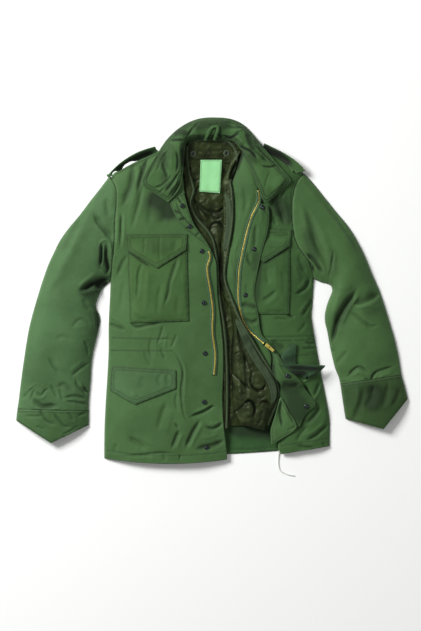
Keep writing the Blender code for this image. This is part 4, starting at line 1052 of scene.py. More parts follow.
sleeveLeftLook = {
    "tube": True, "thickness": 1.0, "sideReach": 6.0, "sideLow": 2.6, "floor": 2.0,
    "flat": (0.50, 0.62), "area": 0.19, "rests": ["floor"],
    "edges": [((232, 291), "seam"), ((255, 29), "side"), ((321, -234), "seam"), ((473, -211), "side")],
    "creases": [
        # along the upper arm
        (2.8, 4, 8, [(214, 290), (257, 236), (295, 189), (332, 139), (364, 90)]),
        (-2.2, 4, 4, [(272, 230), (312, 179), (345, 131), (374, 80)], 0.05),
        (-5.5, 7, 9, [(232, 214), (250, 161), (262, 119), (277, 86), (287, 56), (288, 24)], 0.22),
        (3.2, 9, 7, [(262, 176), (280, 128), (295, 88), (302, 46)]),
        (-3.2, 2.4, 2.4, [(303, 100), (298, 64), (292, 26)], 0.3),
        (1.8, 3, 3, [(309, 100), (306, 60), (304, 18)]),
        (2.2, 6, 6, [(222, 214), (232, 168), (244, 120)]),
        (-7, 4.6, 4.6, [(232, 96), (252, 79), (265, 61), (280, 40)], 0.6),
        (2.4, 2.6, 2.6, [(226, 92), (245, 72), (260, 52), (270, 32)]),
        (-5, 3.6, 4, [(216, 98), (238, 74), (250, 58), (257, 34)], 0.8),
        # broad shade where the cloth turns away
        (0, 12, 16, [(352, 4), (340, -30), (322, -62), (306, -104)], 0.42),
        (0, 10, 12, [(366, -42), (392, -50), (424, -44)], 0.26),
        (0, 14, 14, [(226, 170), (250, 110), (270, 60)], 0.36),
        (0, 12, 12, [(292, 120), (300, 70), (300, 20)], 0.25),
        # the elbow
        (-9, 4, 8, [(364, 10), (350, -16), (335, -36), (322, -59), (312, -86), (298, -140)], 0.62),
        (3.4, 4, 3, [(372, -4), (358, -24), (344, -44), (332, -66), (320, -96)]),
        (3, 8, 8, [(318, 4), (308, -30), (300, -70)]),
        (-6, 3, 14, [(424, -6), (400, -21), (375, -31), (346, -35)], 0.4),
        (3.4, 4, 8, [(422, -22), (396, -36), (368, -44), (346, -48)]),
        (-3.2, 3, 5, [(334, -51), (355, -59), (370, -69), (385, -81), (400, -89), (422, -83)], 0.2),
        (2, 6, 4, [(350, -74), (370, -86), (390, -100)]),
        (2.4, 10, 6, [(306, 10), (330, 6), (352, 14)]),
        (-2.2, 4, 6, [(340, -148), (325, -166), (308, -188)], 0.12),
        (-1.8, 2.5, 2.5, [(290, -140), (309, -156)], 0.1),
        # gathers over the cuff
        (-4.2, 3, 4, [(336, -220), (350, -201), (365, -191), (380, -196), (394, -207)], 0.3),
        (2.4, 4, 4, [(352, -216), (366, -205), (382, -211)]),
        (-4.6, 3, 3, [(402, -258), (400, -234), (400, -216), (410, -204), (430, -196),
                      (460, -188)], 0.38),
        (3, 4, 4, [(412, -222), (430, -210), (456, -202)]),
        (-3, 3, 3, [(378, -219), (390, -223), (403, -231)], 0.35),
        (-3.2, 3, 3, [(316, -246), (337, -249), (356, -243)], 0.3),
        (-1.8, 2.5, 2.5, [(318, -226), (344, -231)], 0.12),
        (-2.2, 2, 2, [(362, -233), (382, -238), (399, -239)], 0.25),
        (2.2, 3, 3, [(410, -232), (436, -222), (466, -216)]),
        (-2.2, 3, 3, [(420, -236), (444, -226), (468, -220)], 0.1),
    ],
}
cuffRightLook = {
    "tube": True, "thickness": 1.1, "sideReach": 5.0, "sideLow": 2.4, "floor": 2.0, "settle": 10,
    "flat": (0.37, 0.09), "area": 0.021, "rests": ["floor"],
    "edges": [((-308, -301.5), "seam"), ((-486, -296.5), "side"), ((-489, -325), "free"),
              ((-308, -336), "side")],
    "edgeStitches": [("free", 2.5), ("seam", 6)],
    "creases": [
        (-3.2, 3, 3, [(-432, -290), (-417, -319), (-402, -331), (-384, -335)], 0.22),
        (2, 3, 3, [(-414, -300), (-402, -318), (-388, -326)]),
        (-2.8, 3.4, 3.4, [(-398, -300), (-380, -324), (-365, -339), (-346, -338)], 0.2),
        (-2.6, 3, 3, [(-338, -316), (-320, -306), (-300, -299)], 0.2),
        (-1.4, 2.4, 2.4, [(-378, -360), (-350, -349), (-328, -334)], 0.15),
        (-1.8, 3, 3, [(-470, -312), (-440, -314), (-415, -310)], 0.1),
        (-1.4, 3, 3, [(-440, -336), (-425, -344), (-412, -342)], 0.08),
        (1.8, 4, 4, [(-374, -312), (-356, -326), (-336, -328)]),
        (-2, 3, 3, [(-362, -302), (-352, -312), (-344, -326)], 0.12),
    ],
}
cuffLeftLook = {
    "tube": True, "thickness": 1.1, "sideReach": 5.0, "sideLow": 2.4, "floor": 2.0, "settle": 10,
    "flat": (0.34, 0.12), "area": 0.030, "rests": ["floor"],
    "edges": [((473.1, -211.5), "seam"), ((321.1, -234.5), "side"), ((334, -321), "free"),
              ((489, -271), "side")],
    "edgeStitches": [("free", 2.5), ("seam", 6)],
    "creases": [
        (4.4, 5, 12, [(368, -228), (360, -274), (348, -304), (343, -336)]),
        (-3, 7, 5, [(379, -234), (374, -270), (362, -304), (352, -330)], 0.2),
        (-3, 8, 8, [(400, -228), (398, -262), (380, -300)], 0.25),
        (2, 7, 6, [(420, -240), (414, -275), (400, -310)]),
        (-3.4, 7, 7, [(438, -226), (434, -262), (424, -298)], 0.3),
        (2.2, 6, 6, [(458, -232), (452, -262), (440, -290)]),
        (-2.4, 5, 5, [(470, -240), (462, -268), (446, -292)], 0.15),
        (-2.2, 2.5, 2.5, [(402, -236), (402, -258)], 0.3),
        (0, 20, 26, [(410, -222), (406, -262), (396, -312)], 0.5),
        (0, 20, 20, [(460, -232), (448, -286)], 0.25),
    ],
}

layCloth("back", "backCloth", cloths["back"], backLook, 1)
layCloth("front_right", "frontRightCloth", cloths["front"], frontRightLook, 2)
layCloth("front_left", "frontLeftCloth", cloths["frontLeft"], frontLeftLook, 3)
layCloth("sleeve_right", "sleeveRightCloth", cloths["sleeveRight"], sleeveRightLook, 4)
layCloth("sleeve_left", "sleeveLeftCloth", cloths["sleeveLeft"], sleeveLeftLook, 5)
layCloth("cuff_right", "cuffRightCloth", cloths["cuff"], cuffRightLook, 6)
layCloth("cuff_left", "cuffLeftCloth", cloths["cuffLeft"], cuffLeftLook, 7)
print("shell")


flapLook = {"thickness": 1.3, "edgeStitches": [("all", 2.5), ("all", 8.5)], "settle": 8, "wrinkle": 0.7,
            "follows": 10, "rise": 3.4, "clear": 1.6, "edgeShade": 0.5}
pocketLook = {"thickness": 1.1, "edgeStitches": [("all", 2.5)], "settle": 12, "wrinkle": 0.9, "follows": 12,
              "rise": 1.9, "swell": 4.0, "clear": 1.3, "edgeShade": 0.45}
chestPocketRightLook = dict(
    pocketLook, restsOn=["frontRightCloth"], flat=(0.15, 0.205), rests=["frontRightCloth"],
    creases=[
        (-3.4, 2.2, 5, [(-82, 92), (-95, 51), (-104, 21), (-110, -14), (-122, -46)], 0.32),
        (2, 4, 3, [(-74, 80), (-88, 46), (-98, 14)]),
        (-3, 4, 4, [(-170, 76), (-182, 46), (-185, 6), (-190, -30)], 0.12),
        (2.2, 4, 4, [(-203, 80), (-202, 14), (-205, -40)]),
        (2.4, 8, 6, [(-160, 60), (-162, 1), (-166, -60)]),
        (-1.6, 5, 5, [(-128, 20), (-134, -24), (-138, -68)], 0.05),
        (1.6, 4, 4, [(-72, 60), (-70, 1), (-66, -54)]),
        (-1.2, 6, 6, [(-84, -6), (-86, -40), (-88, -66)]),
        (1.8, 7, 7, [(-112, 30), (-120, -10), (-126, -50)]),
        (-1.6, 5, 4, [(-198, -54), (-176, -70), (-150, -72)], 0.05),
        # painted shadow under the flap's edge
        (0, 2.6, 3.2, [(-222, 106), (-182, 78), (-147, 54)], 0.6),
        (0, 2.6, 3.2, [(-147, 54), (-106, 76), (-58, 102)], 0.6),  # under the flap
    ])
chestFlapRightLook = dict(
    flapLook, restsOn=["frontRightCloth", "chestPocketRightCloth"], flat=(0.155, 0.09), area=0.0092,
    rests=["frontRightCloth"],
    creases=[
        (-1.6, 2.6, 2.6, [(-130, 140), (-131, 112), (-131, 66)], 0.1),
        (-1.4, 3, 3, [(-168, 136), (-168, 112), (-172, 86)], 0.06),
        (1.2, 6, 6, [(-150, 132), (-150, 100), (-148, 78)]),
        (1, 6, 6, [(-104, 130), (-106, 100)]),
        (0, 16, 16, [(-190, 124), (-130, 108), (-76, 124)], 0.25),
        (-1, 5, 5, [(-90, 132), (-92, 112), (-98, 96)]),
    ])
lowerFlapRightLook = dict(
    flapLook, restsOn=["frontRightCloth"], flat=(0.165, 0.1), area=0.0118, rests=["frontRightCloth"],
    creases=[
        (2.2, 6, 6, [(-200, -252), (-194, -260), (-188, -254)]),
        (-1.6, 5, 5, [(-128, -205), (-134, -225), (-126, -244)], 0.08),
        (-1.4, 4, 4, [(-108, -203), (-112, -222), (-104, -240)], 0.06),
        (1.2, 5, 5, [(-118, -203), (-122, -226), (-114, -246)]),
        (-1, 8, 8, [(-170, -212), (-176, -232), (-172, -250)]),
    ])
chestPocketLeftLook = dict(
    pocketLook, restsOn=["frontLeftCloth"], flat=(0.123, 0.195), rests=["frontLeftCloth"],
    creases=[
        (-3, 6, 4, [(162, 2), (145, -14), (122, -26)], 0.15),
        (2, 5, 5, [(168, -10), (148, -28), (128, -38)]),
        (-1.8, 6, 6, [(140, 66), (137, 40), (140, 10)], 0.05),
        (1.6, 7, 7, [(160, 70), (158, 30), (160, -4)]),
        (-1.4, 6, 6, [(176, 60), (178, 20), (176, -20)]),
        (-1.6, 6, 5, [(130, -50), (160, -56), (186, -52)], 0.06),
        # painted shadow under the flap's edge, and painted shade beside the fly
        (0, 3, 6, [(112, 58), (150, 84), (204, 120)], 0.85),  # under the flap
        (0, 10, 6, [(122, 140), (117, 70), (111, 6), (113, -60)], 0.5),  # beside the fly
    ])
chestFlapLeftLook = dict(
    flapLook, restsOn=["frontLeftCloth", "chestPocketLeftCloth"], flat=(0.135, 0.09), area=0.0078,
    rests=["frontLeftCloth"],
    creases=[
        (-2, 3, 4, [(144, 146), (170, 137), (198, 139)], 0.22),
        (1.8, 4, 4, [(140, 132), (166, 124), (194, 126)]),
        (-1, 5, 5, [(140, 110), (160, 104), (180, 110)]),
    ])

layCloth("chest_pocket_right", "chestPocketRightCloth", cloths["pocket"], chestPocketRightLook, 11)
layCloth("chest_flap_right", "chestFlapRightCloth", cloths["pocket"], chestFlapRightLook, 12)
layCloth("lower_flap_right", "lowerFlapRightCloth", cloths["sleeveRight"], lowerFlapRightLook, 13)
layCloth("chest_pocket_left", "chestPocketLeftCloth", cloths["frontLeft"], chestPocketLeftLook, 14)
layCloth("chest_flap_left", "chestFlapLeftCloth", cloths["frontLeft"], chestFlapLeftLook, 15)
print("pockets")


edgeLook = {"thickness": 1.2, "settle": 6, "wrinkle": 0.6, "grid": 2.6, "clear": 1.5, "edgeShade": 0.5}
facingLook = dict(
    edgeLook, restsOn=["frontLeftCloth", "chestPocketLeftCloth", "chestFlapLeftCloth"],
    flat=(0.08, 0.57), area=0.0225, rests=["frontLeftCloth"],
    creases=[
        (-2, 5, 5, [(76, 262), (84, 220), (80, 184)], 0.08),
        (1.8, 5, 5, [(68, 250), (70, 200), (62, 150)]),
        (-1.8, 4, 4, [(56, 140), (52, 90), (54, 40)], 0.06),
        (1.6, 4, 4, [(50, 20), (54, -30), (66, -72)]),
        (0, 7, 7, [(66, 96), (62, 60), (60, 20)], 0.25),
        (-1.6, 4, 4, [(70, 130), (60, 80), (58, 30)]),
        (-2, 4, 5, [(80, 352), (72, 331), (66, 312), (58, 288)], 0.75),
        (-0.6, 6, 6, [(110, 246), (100, 214), (92, 184)], 0.12),
        (-1.4, 3, 3, [(104, 300), (112, 270), (114, 250)], 0.3),
    ])
flyFoldLook = dict(
    edgeLook, restsOn=["frontLeftCloth"], flat=(0.045, 0.08), area=0.0024, rests=["frontLeftCloth"],
    creases=[
        (-2, 3, 3, [(176, -150), (192, -140), (206, -134)], 0.2),
        (-1, 8, 8, [(172, -172), (196, -172), (220, -160)], 0.45),
    ])
flyLook = dict(
    edgeLook, restsOn=["frontLeftCloth", "chestPocketLeftCloth", "facingCloth", "flyFoldCloth"],
    flat=(0.09, 0.60), area=0.025, rests=["frontLeftCloth"], edgeStitches=[("all", 3)],
    creases=[
        (-3, 4, 4, [(110, 170), (108, 131), (104, 100)], 0.22),
        (-2.6, 4, 4, [(88, 98), (92, 71), (107, 54)], 0.3),
        (2, 4, 4, [(98, 160), (96, 120), (92, 84)]),
        (-4, 6, 6, [(68, -37), (92, -36), (118, -42)], 0.55),
        (2.4, 4, 4, [(72, -54), (94, -55), (116, -56)]),
        (-3.4, 5, 5, [(74, -68), (100, -80), (120, -66)], 0.32),
        (-2, 3, 3, [(126, 222), (132, 200), (140, 186)], 0.15),
        (1.8, 4, 4, [(120, 210), (124, 184), (118, 160)]),
        (1.8, 4, 4, [(98, 30), (104, -4), (100, -26)]),
        (-1.4, 5, 5, [(84, 20), (86, -6), (82, -24)]),
        (0, 10, 8, [(112, 104), (108, 76), (104, 40)], 0.38),
        (-2.4, 4, 4, [(90, -96), (108, -112), (128, -120)], 0.15),
        (2, 4, 4, [(102, -128), (124, -146), (146, -162)]),
        # in shade below the lower flap
        (0, 30, 28, [(172, -196), (196, -246), (214, -300), (216, -356)], 0.55),
        (-4, 4, 9, [(172, -226), (196, -236), (222, -230)], 0.7),
        (4.5, 4, 4, [(158, -160), (170, -196), (190, -222), (214, -222)]),
        (-4, 5, 3, [(150, -170), (154, -208), (162, -240)], 0.6),
    ])
lapelLook = dict(
    edgeLook, restsOn=["frontRightCloth"], flat=(0.045, 0.155), area=0.0040, rests=["frontRightCloth"],
    edgeStitches=[("all", 3)],
    creases=[
        (-2.4, 2.5, 2.5, [(-92, 240), (-74, 214)], 0.6),
        (-2.4, 2.5, 2.5, [(-96, 200), (-72, 190)], 0.6),
        (-2.4, 2.5, 2.5, [(-84, 176), (-60, 180)], 0.6),
        (-2.2, 2.5, 2.5, [(-68, 152), (-46, 164)], 0.55),
        (-2.2, 2.5, 2.5, [(-44, 134), (-28, 146)], 0.5),
        (3.4, 2.6, 2.6, [(-99, 216), (-86, 184), (-56, 146), (-18, 118)]),
        (-1.6, 2, 2, [(-90, 228), (-84, 206), (-74, 186), (-56, 166), (-36, 148)], 0.5),
        (2, 3, 3, [(-84, 226), (-76, 204)]),
        (2, 3, 3, [(-86, 188), (-70, 182)]),
        (-1.8, 2.5, 2.5, [(-80, 246), (-66, 222)], 0.3),
        (-1, 4, 4, [(-70, 248), (-58, 206), (-42, 172), (-14, 134)], 0.35),
    ])

layCloth("facing_left", "facingCloth", cloths["fly"], facingLook, 21)
layCloth("fly_fold_left", "flyFoldCloth", cloths["shadeSide"], flyFoldLook, 22)
layCloth("fly_flap_left", "flyCloth", cloths["fly"], flyLook, 23)
layCloth("lapel_right", "lapelCloth", cloths["front"], lapelLook, 24)
print("turned-back edge")


liners = {"back": liningNylon("quilted nylon lining", "#2c361b", "#191e0e"),
          "front": liningNylon("quilted nylon lining, front", "#303a20", "#1b2211")}
quiltLook = {
    "thickness": 1.2, "settle": 6, "wrinkle": 0.7, "grid": 2.6, "clear": 1.5, "fill": 0.35, "crumple": 1.0,
}
linerBackLook = dict(
    quiltLook, restsOn=["backCloth"],
    creases=[
        # the neck band and the quilting beside the label
        (-2.6, 2, 2, [(-66, 328), (0, 327), (70, 327)], 0.6),
        (-1.6, 3, 3, [(-50, 351), (0, 349), (44, 354)], 0.25),
        (1.6, 4, 4, [(-46, 342), (0, 339), (46, 344)]),
        (-2, 4, 3, [(-58, 372), (0, 374), (46, 372)], 0.5),
        (-3.2, 2.6, 2.6, [(22, 308), (37, 291), (56, 273)], 0.6),
        (-2.2, 2.4, 2.4, [(26, 320), (42, 317), (58, 319)], 0.4),
        (-2.6, 2.6, 2.6, [(32, 264), (30, 236)], 0.5),
        (-3.2, 3, 3, [(-56, 322), (-55, 286), (-40, 274), (-28, 283)], 0.6),
        (-2.6, 2.6, 2.6, [(-44, 242), (-30, 264)], 0.5),
        (3, 8, 8, [(44, 300), (40, 270), (36, 240)]),
        (3, 7, 7, [(-44, 310), (-42, 290)]),
        # the onion quilting below the label
        (-5, 3, 3, [(-33, 238), (-30, 216), (-15, 201), (5, 195), (22, 200), (34, 214), (36, 238)], 0.75),
        (4, 13, 13, [(-16, 228), (2, 222), (20, 228)]),
        (-4.4, 2.8, 2.8, [(-6, 140), (-2, 161), (10, 170), (22, 166), (34, 146)], 0.75),
        (3.6, 9, 9, [(12, 154), (18, 104)]),
        (-4.2, 3.5, 3.5, [(-54, 240), (-35, 211), (-15, 191), (6, 168)], 0.6),
        (-3.2, 3, 3, [(-42, 230), (-30, 191), (-14, 160)], 0.55),
        (-3, 3, 3, [(-12, 192), (8, 178), (26, 184)], 0.5),
        (2.4, 4, 4, [(-24, 184), (-10, 172)]),
        (-3.4, 4, 4, [(-8, 140), (2, 110), (14, 76)], 0.7),
        (-4, 6, 6, [(30, 132), (26, 96), (22, 40)], 0.7),
        (0, 9, 9, [(-12, 208), (8, 190), (28, 182)], 0.6),
    ])
linerRightLook = dict(
    quiltLook, restsOn=["linerBack"],
    creases=[
        (-3, 5, 9, [(-79, 358), (-79, 314), (-77, 276), (-72, 239), (-62, 192), (-46, 160)], 0.9),
        (-2, 3, 6, [(-10, 100), (-8, 40), (-6, -40), (0, -130), (4, -240), (6, -340)], 0.55),
        (2.2, 4, 4, [(30, -80), (31, -150), (32, -230), (31, -300)]),
        (-2, 2.6, 2.6, [(22, -90), (24, -170), (23, -250), (24, -330)], 0.4),
    ])
linerLeftLook = dict(
    quiltLook, restsOn=["linerBack", "facingCloth"],
    creases=[
        (-2, 3, 4, [(71, 350), (66, 331), (60, 314), (50, 296), (46, 278)], 0.8),
        (-4, 6, 6, [(20, 122), (22, 76), (22, 39), (25, 1), (34, -30)], 0.85),
        (-5, 5, 5, [(46, -26), (50, -99), (47, -174), (47, -249), (50, -318)], 0.9),
        (5, 7, 7, [(66, -128), (67, -199), (70, -261), (76, -318)]),
        (-4, 4, 4, [(82, -140), (85, -211), (88, -270)], 0.6),
        (-2.2, 2, 2, [(48, -162), (68, -153)], 0.5),
        (-3.6, 2.4, 2.4, [(46, -202), (65, -219), (82, -236), (100, -252)], 0.75),
        (-4.6, 2.8, 2.8, [(94, -218), (102, -241), (117, -250), (130, -241), (136, -222)], 0.75),
        (4, 10, 10, [(110, -200), (115, -236)]),
        (-2.8, 3, 3, [(101, -196), (94, -236)], 0.5),
        (-5.2, 2.8, 2.8, [(75, -292), (85, -279), (95, -275), (104, -284), (107, -299),
                          (102, -324)], 0.85),
        (3.6, 7, 7, [(92, -286), (94, -318)]),
        (-3.2, 2.6, 2.6, [(118, -290), (127, -277), (140, -280), (146, -294)], 0.65),
        (-2.8, 4, 4, [(126, -292), (120, -324), (108, -342)], 0.45),
        (3.2, 8, 8, [(132, -250), (140, -278)]),
        (-3.2, 2.6, 2.6, [(53, -308), (70, -294), (82, -282)], 0.6),
        (3.6, 5, 5, [(62, -318), (84, -334)]),
        (-2.8, 2.6, 2.6, [(54, -46), (65, -99), (77, -149), (92, -188), (116, -220)], 0.5),
        (-2, 2.4, 2.4, [(35, 236), (36, 180), (34, 120)], 0.5),
        (-2.4, 3, 3, [(112, -262), (122, -268), (134, -262)], 0.4),
    ])
layCloth("liner_back", "linerBack", liners["back"], linerBackLook, 31)
layCloth("liner_front_right", "linerFrontRight", liners["front"], linerRightLook, 32)
layCloth("liner_front_left", "linerFrontLeft", liners["front"], linerLeftLook, 33)


tapes = {
    "step": 3.0, "across": 7,  # mm along, and points across
    "thickness": 0.7, "bulge": 0.7,  # mm, and how much lower its borders lie, as a share of its rise
    "sag": 2.5,  # how far it can follow the cloth down at one side
    "uneven": 0.12, "swing": 9, "taperLength": 14,
    "foldedFrom": 10, "core": 1.6,  # a narrower one is folded over a core, which takes up more cloth
    "binding": {"width": 5.0, "rise": 1.6}, "band": {"rise": 0.9, "left": 15, "lower": 19.0},
}


def layTape(name, route, width, rise, material, restsOn, node=None, seed=0, taper=0):
    # a narrow strip that lies along a route on the pieces below, fuller in its middle; taper says how
    # much of its width runs out under its neighbour at each end
    step, count = tapes["step"], tapes["across"]
    line = evenly(smoothThrough(route, 10 * len(route)), step)
    side = inward(line)
    side[0], side[-1] = side[1], side[-2]
    across = np.linspace(-1, 1, count)
    run = np.arange(len(line)) * step
    half = width / 2 * (1 - taper * np.exp(-np.minimum(run, run[::-1]) / tapes["taperLength"]))
    xy = line[:, None, :] + side[:, None, :] * across[None, :, None] * half[:, None, None]
    under = heightsOver(restsOn, xy.reshape(-1, 2)).reshape(len(line), count)
    under = np.maximum(under, under.max(axis=1, keepdims=True) - tapes["sag"])
    for _ in range(2):
        under[1:-1] = np.maximum(under[1:-1], (under[:-2] + under[1:-1] * 2 + under[2:]) / 4)
    uneven = tapes["uneven"] * waver(run, tapes["swing"], seed)[:, None]
    z = under + rise * (1 - tapes["bulge"] * np.abs(across) ** 3) + uneven
    points = np.column_stack([xy.reshape(-1, 2), z.ravel()])
    starts = [i * count + j for i in range(len(line) - 1) for j in range(count - 1)]
    faces = [(k, k + count, k + count + 1, k + 1) for k in starts]
    laid[name] = BVHTree.FromPolygons(points.tolist(), faces)
    made = makeMesh(name, points, [face[::-1] for face in faces], material)
    thicken(made, tapes["thickness"])
    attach(made, "jacket")
    if node:
        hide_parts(node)
    return line


binding = sateen("bias binding, cotton sateen", "#38472d", "#2b3822")
webbing = cordage("speckled nylon pile band", "#3c5231", "#1b2815")
band, edging = tapes["band"], tapes["binding"]
layTape("linerBandLeft", [(33, 240), (40, 222), (43, 190), (42, 160), (38, 130), (32, 100)],
        band["left"], band["rise"], webbing, ["linerFrontLeft"],
        seed=5, taper=0.6)
layTape("linerBandLower", [(60, -72), (74, -98), (92, -138), (112, -174), (134, -206), (150, -236),
                           (154, -262), (150, -282)],
        band["lower"], band["rise"], webbing, ["linerFrontLeft"],
        seed=6, taper=0.85)
layTape("linerBindingRight", [(-62, 362), (-62, 326), (-57, 294), (-47, 262), (-46, 244), (-53, 221),
                              (-48, 199), (-34, 176), (-14, 154), (1, 131), (8, 106), (13, 71), (16, 14),
                              (21, -31), (30, -86), (36, -149), (38, -224), (38, -299), (36, -344)],
        edging["width"], edging["rise"], binding, ["linerFrontRight", "linerBack"],
        seed=7)
layTape("linerBindingLeft", [(-58, 371), (-30, 375), (10, 376), (36, 374), (50, 364), (60, 347), (62, 328),
                             (58, 306), (48, 284), (46, 266), (50, 244), (52, 211), (51, 172), (45, 130),
                             (36, 76), (32, 46), (35, 16), (46, -14), (56, -38), (66, -64), (80, -90),
                             (100, -124), (122, -160), (145, -196), (162, -231), (167, -257), (162, -284),
                             (150, -310), (139, -336)],
        edging["width"], edging["rise"], binding, ["linerFrontLeft", "linerBack"],
        seed=8)
print("liner")


looseLook = {"thickness": 1.2, "settle": 8, "wrinkle": 0.5, "grid": 2.6, "clear": 1.4}
collarLook = dict(
    looseLook, flat=(0.60, 0.16), area=0.052, rests=["frontRightCloth", "frontLeftCloth"],
    restsOn=["frontRightCloth", "frontLeftCloth", "facingCloth", "lapelCloth"],
    edgeStitches=[("all", 4), ("all", 10)], thickness=1.6, clear=1.9, floor=2.4, edgeShade=0.25,
    sewnShade=0.5, sewnWidth=2.1, groove=0.9, slack=1.5,
    creases=[
        # right leaf
        (0, 12, 12, [(-132, 356), (-122, 322), (-112, 296)], 0.5),
        (-2.4, 2, 2, [(-110, 369), (-135, 334), (-155, 296), (-168, 266)], 0.5),
        (-2.2, 2, 2.4, [(-102, 360), (-125, 326), (-140, 291)], 0.4),
        (-4.4, 2.2, 4.5, [(-113, 350), (-120, 314), (-114, 288), (-108, 268)], 0.62),
        (-4, 4, 2.4, [(-90, 354), (-85, 321), (-90, 290)], 0.58),
        (4, 7, 7, [(-98, 362), (-102, 330), (-100, 296)]),
        (-3.4, 2, 3, [(-78, 300), (-98, 268), (-120, 241)], 0.55),
        (-3.4, 2, 2.6, [(-74, 278), (-88, 252), (-104, 226)], 0.55),
        (-2.8, 2, 3, [(-96, 290), (-124, 262), (-150, 254)], 0.4),
        (3.4, 3, 3, [(-82, 282), (-96, 258), (-112, 236)]),
        (-2, 2, 2, [(-118, 258), (-128, 246), (-136, 242)], 0.4),
        (-3.2, 2.4, 4, [(-110, 373), (-88, 376), (-64, 374)], 0.75),
        (0, 9, 8, [(-102, 386), (-78, 394), (-56, 384)], 0.62),
        # round the back of the neck
        (-3.6, 3, 2.4, [(-30, 424), (-50, 402), (-64, 380)], 0.55),
        (4, 8, 8, [(-42, 416), (-40, 396), (-34, 374)]),
        (0, 8, 5, [(-100, 392), (-72, 410), (-40, 424)], 0.45),
        (-1.8, 1.8, 1.8, [(-14, 412), (4, 413), (22, 414)], 0.5),
        (3.2, 3, 3, [(-18, 380), (-4, 402), (14, 410)]),
        (-4, 3, 3, [(10, 399), (18, 388), (27, 378)], 0.85),
        (-4, 2.2, 4.6, [(24, 390), (46, 382), (60, 390), (73, 400)], 0.85),
        (-2, 1.8, 1.8, [(30, 406), (66, 407), (92, 401)], 0.5),
        (2.6, 3, 3, [(28, 398), (54, 398), (84, 404)]),
        (-1.6, 1.8, 1.8, [(16, 420), (50, 418), (84, 410)], 0.35),
        # left leaf
        (6, 8, 7, [(56, 394), (66, 376), (76, 358)]),
        (-4.4, 8, 4, [(84, 402), (90, 380), (100, 356), (112, 340)], 0.62),
        # broad shade
        (0, 12, 10, [(-128, 300), (-112, 262), (-92, 236)], 0.35),
        (0, 12, 8, [(-96, 372), (-110, 344), (-118, 316)], 0.3),
        (0, 14, 14, [(-60, 402), (-10, 414), (60, 410)], 0.55),
        (0, 9, 9, [(88, 348), (100, 330), (110, 312)], 0.4),
        # left leaf again
        (-4.6, 3.4, 2.4, [(58, 366), (78, 355), (98, 345), (116, 321)], 0.8),
        (-3.6, 4, 4, [(66, 360), (74, 344), (80, 326), (86, 304)], 0.9),
        (3.6, 4, 4, [(88, 366), (112, 342), (136, 322)]),
        (-3.6, 2, 2.6, [(120, 312), (142, 308), (168, 313)], 0.65),
        (-3, 2.2, 2.2, [(94, 376), (125, 345), (158, 315), (188, 280)], 0.55),
        (-2.6, 2, 3, [(100, 352), (126, 332), (142, 318)], 0.45),
        (-2, 2.4, 2.4, [(85, 312), (102, 282), (118, 252)], 0.5),
        (7, 8, 18, [(186, 292), (172, 270), (152, 244)]),
        (-1.4, 2.4, 3, [(146, 300), (136, 276), (132, 250)], 0.2),
        (3, 4, 4, [(104, 384), (134, 354), (172, 318)]),
        # into the neck
        (-2, 5, 5, [(-74, 366), (-74, 330), (-72, 296)], 0.8),
        (-1, 6, 6, [(-60, 384), (-20, 380), (40, 378)], 0.5),
    ])
lowerFlapLeftLook = dict(
    looseLook, flat=(0.125, 0.04), area=0.0026, rests=["frontLeftCloth"],
    restsOn=["frontLeftCloth", "flyCloth", "flyFoldCloth"], edgeStitches=[("all", 2.5)],
    creases=[
        # painted shade over the strip and the cloth below it, which lie in shadow
        (-0.6, 4, 7, [(172, -190), (220, -192), (262, -194), (292, -192)], 0.85),
        (-1, 9, 9, [(176, -204), (214, -208), (244, -204)], 0.85),
        (3.4, 3, 3, [(222, -222), (250, -210), (276, -197)]),
    ])
hemCornerLook = dict(
    looseLook, flat=(0.075, 0.12), area=0.0042, rests=["frontLeftCloth"],
    restsOn=["frontLeftCloth", "flyCloth", "linerFrontLeft", "backCloth"], edgeStitches=[("all", 4)],
    sewnWidth=2,
    creases=[
        (-4, 2.5, 3.5, [(176, -268), (170, -304), (177, -346)], 0.6),
        (-2.6, 3, 3, [(190, -290), (196, -316), (206, -336)], 0.4),
        (3, 4, 4, [(184, -280), (184, -310), (192, -340)]),
        (2, 4, 4, [(160, -300), (156, -340), (154, -372)]),
        (2, 5, 5, [(186, -286), (196, -322), (200, -340)]),
        (-1.4, 3, 3, [(186, -350), (200, -344), (210, -338)], 0.15),
    ])
epauletteLook = dict(looseLook, settle=4, wrinkle=0.3, flat=(0.035, 0.13), area=0.0028)
epauletteRightLook = dict(
    epauletteLook, rests=["frontRightCloth"], widen=4,
    gaps=[((-208, 313), 17, 6.5), ((-243, 293), 9, 7)],  # it stands clear of the shoulder here
    edges=[((-260, 287), "under"), ((-135, 350), "free")],
    creases=[
        # painted shade over the strap's lower side, which stands in shadow
        (0, 7.5, 10, [(-262, 290), (-225, 308), (-200, 323), (-175, 335), (-150, 345), (-128, 352)], 0.95),
    ])
epauletteLeftLook = dict(
    epauletteLook, rests=["frontLeftCloth"], widen=7,
    edges=[((127, 356), "under"), ((205, 299), "free")],
    creases=[
        # painted shade over the strap's lower side, which stands in shadow
        (0, 9, 18, [(98, 372), (157, 342), (182, 326), (210, 304)], 0.97),
    ])
hangerLook = dict(
    looseLook, settle=2, wrinkle=0.1, grid=2.0, rimStep=2.0, flat=(0.0105, 0.085), area=0.00062,
    rests=["collarCloth"], restsOn=["collarCloth"])
labelLook = dict(
    looseLook, settle=4, wrinkle=0.3, flat=(0.055, 0.085), rests=["linerBack"], restsOn=["linerBack"],
    edgeStitches=[("all", 2)])

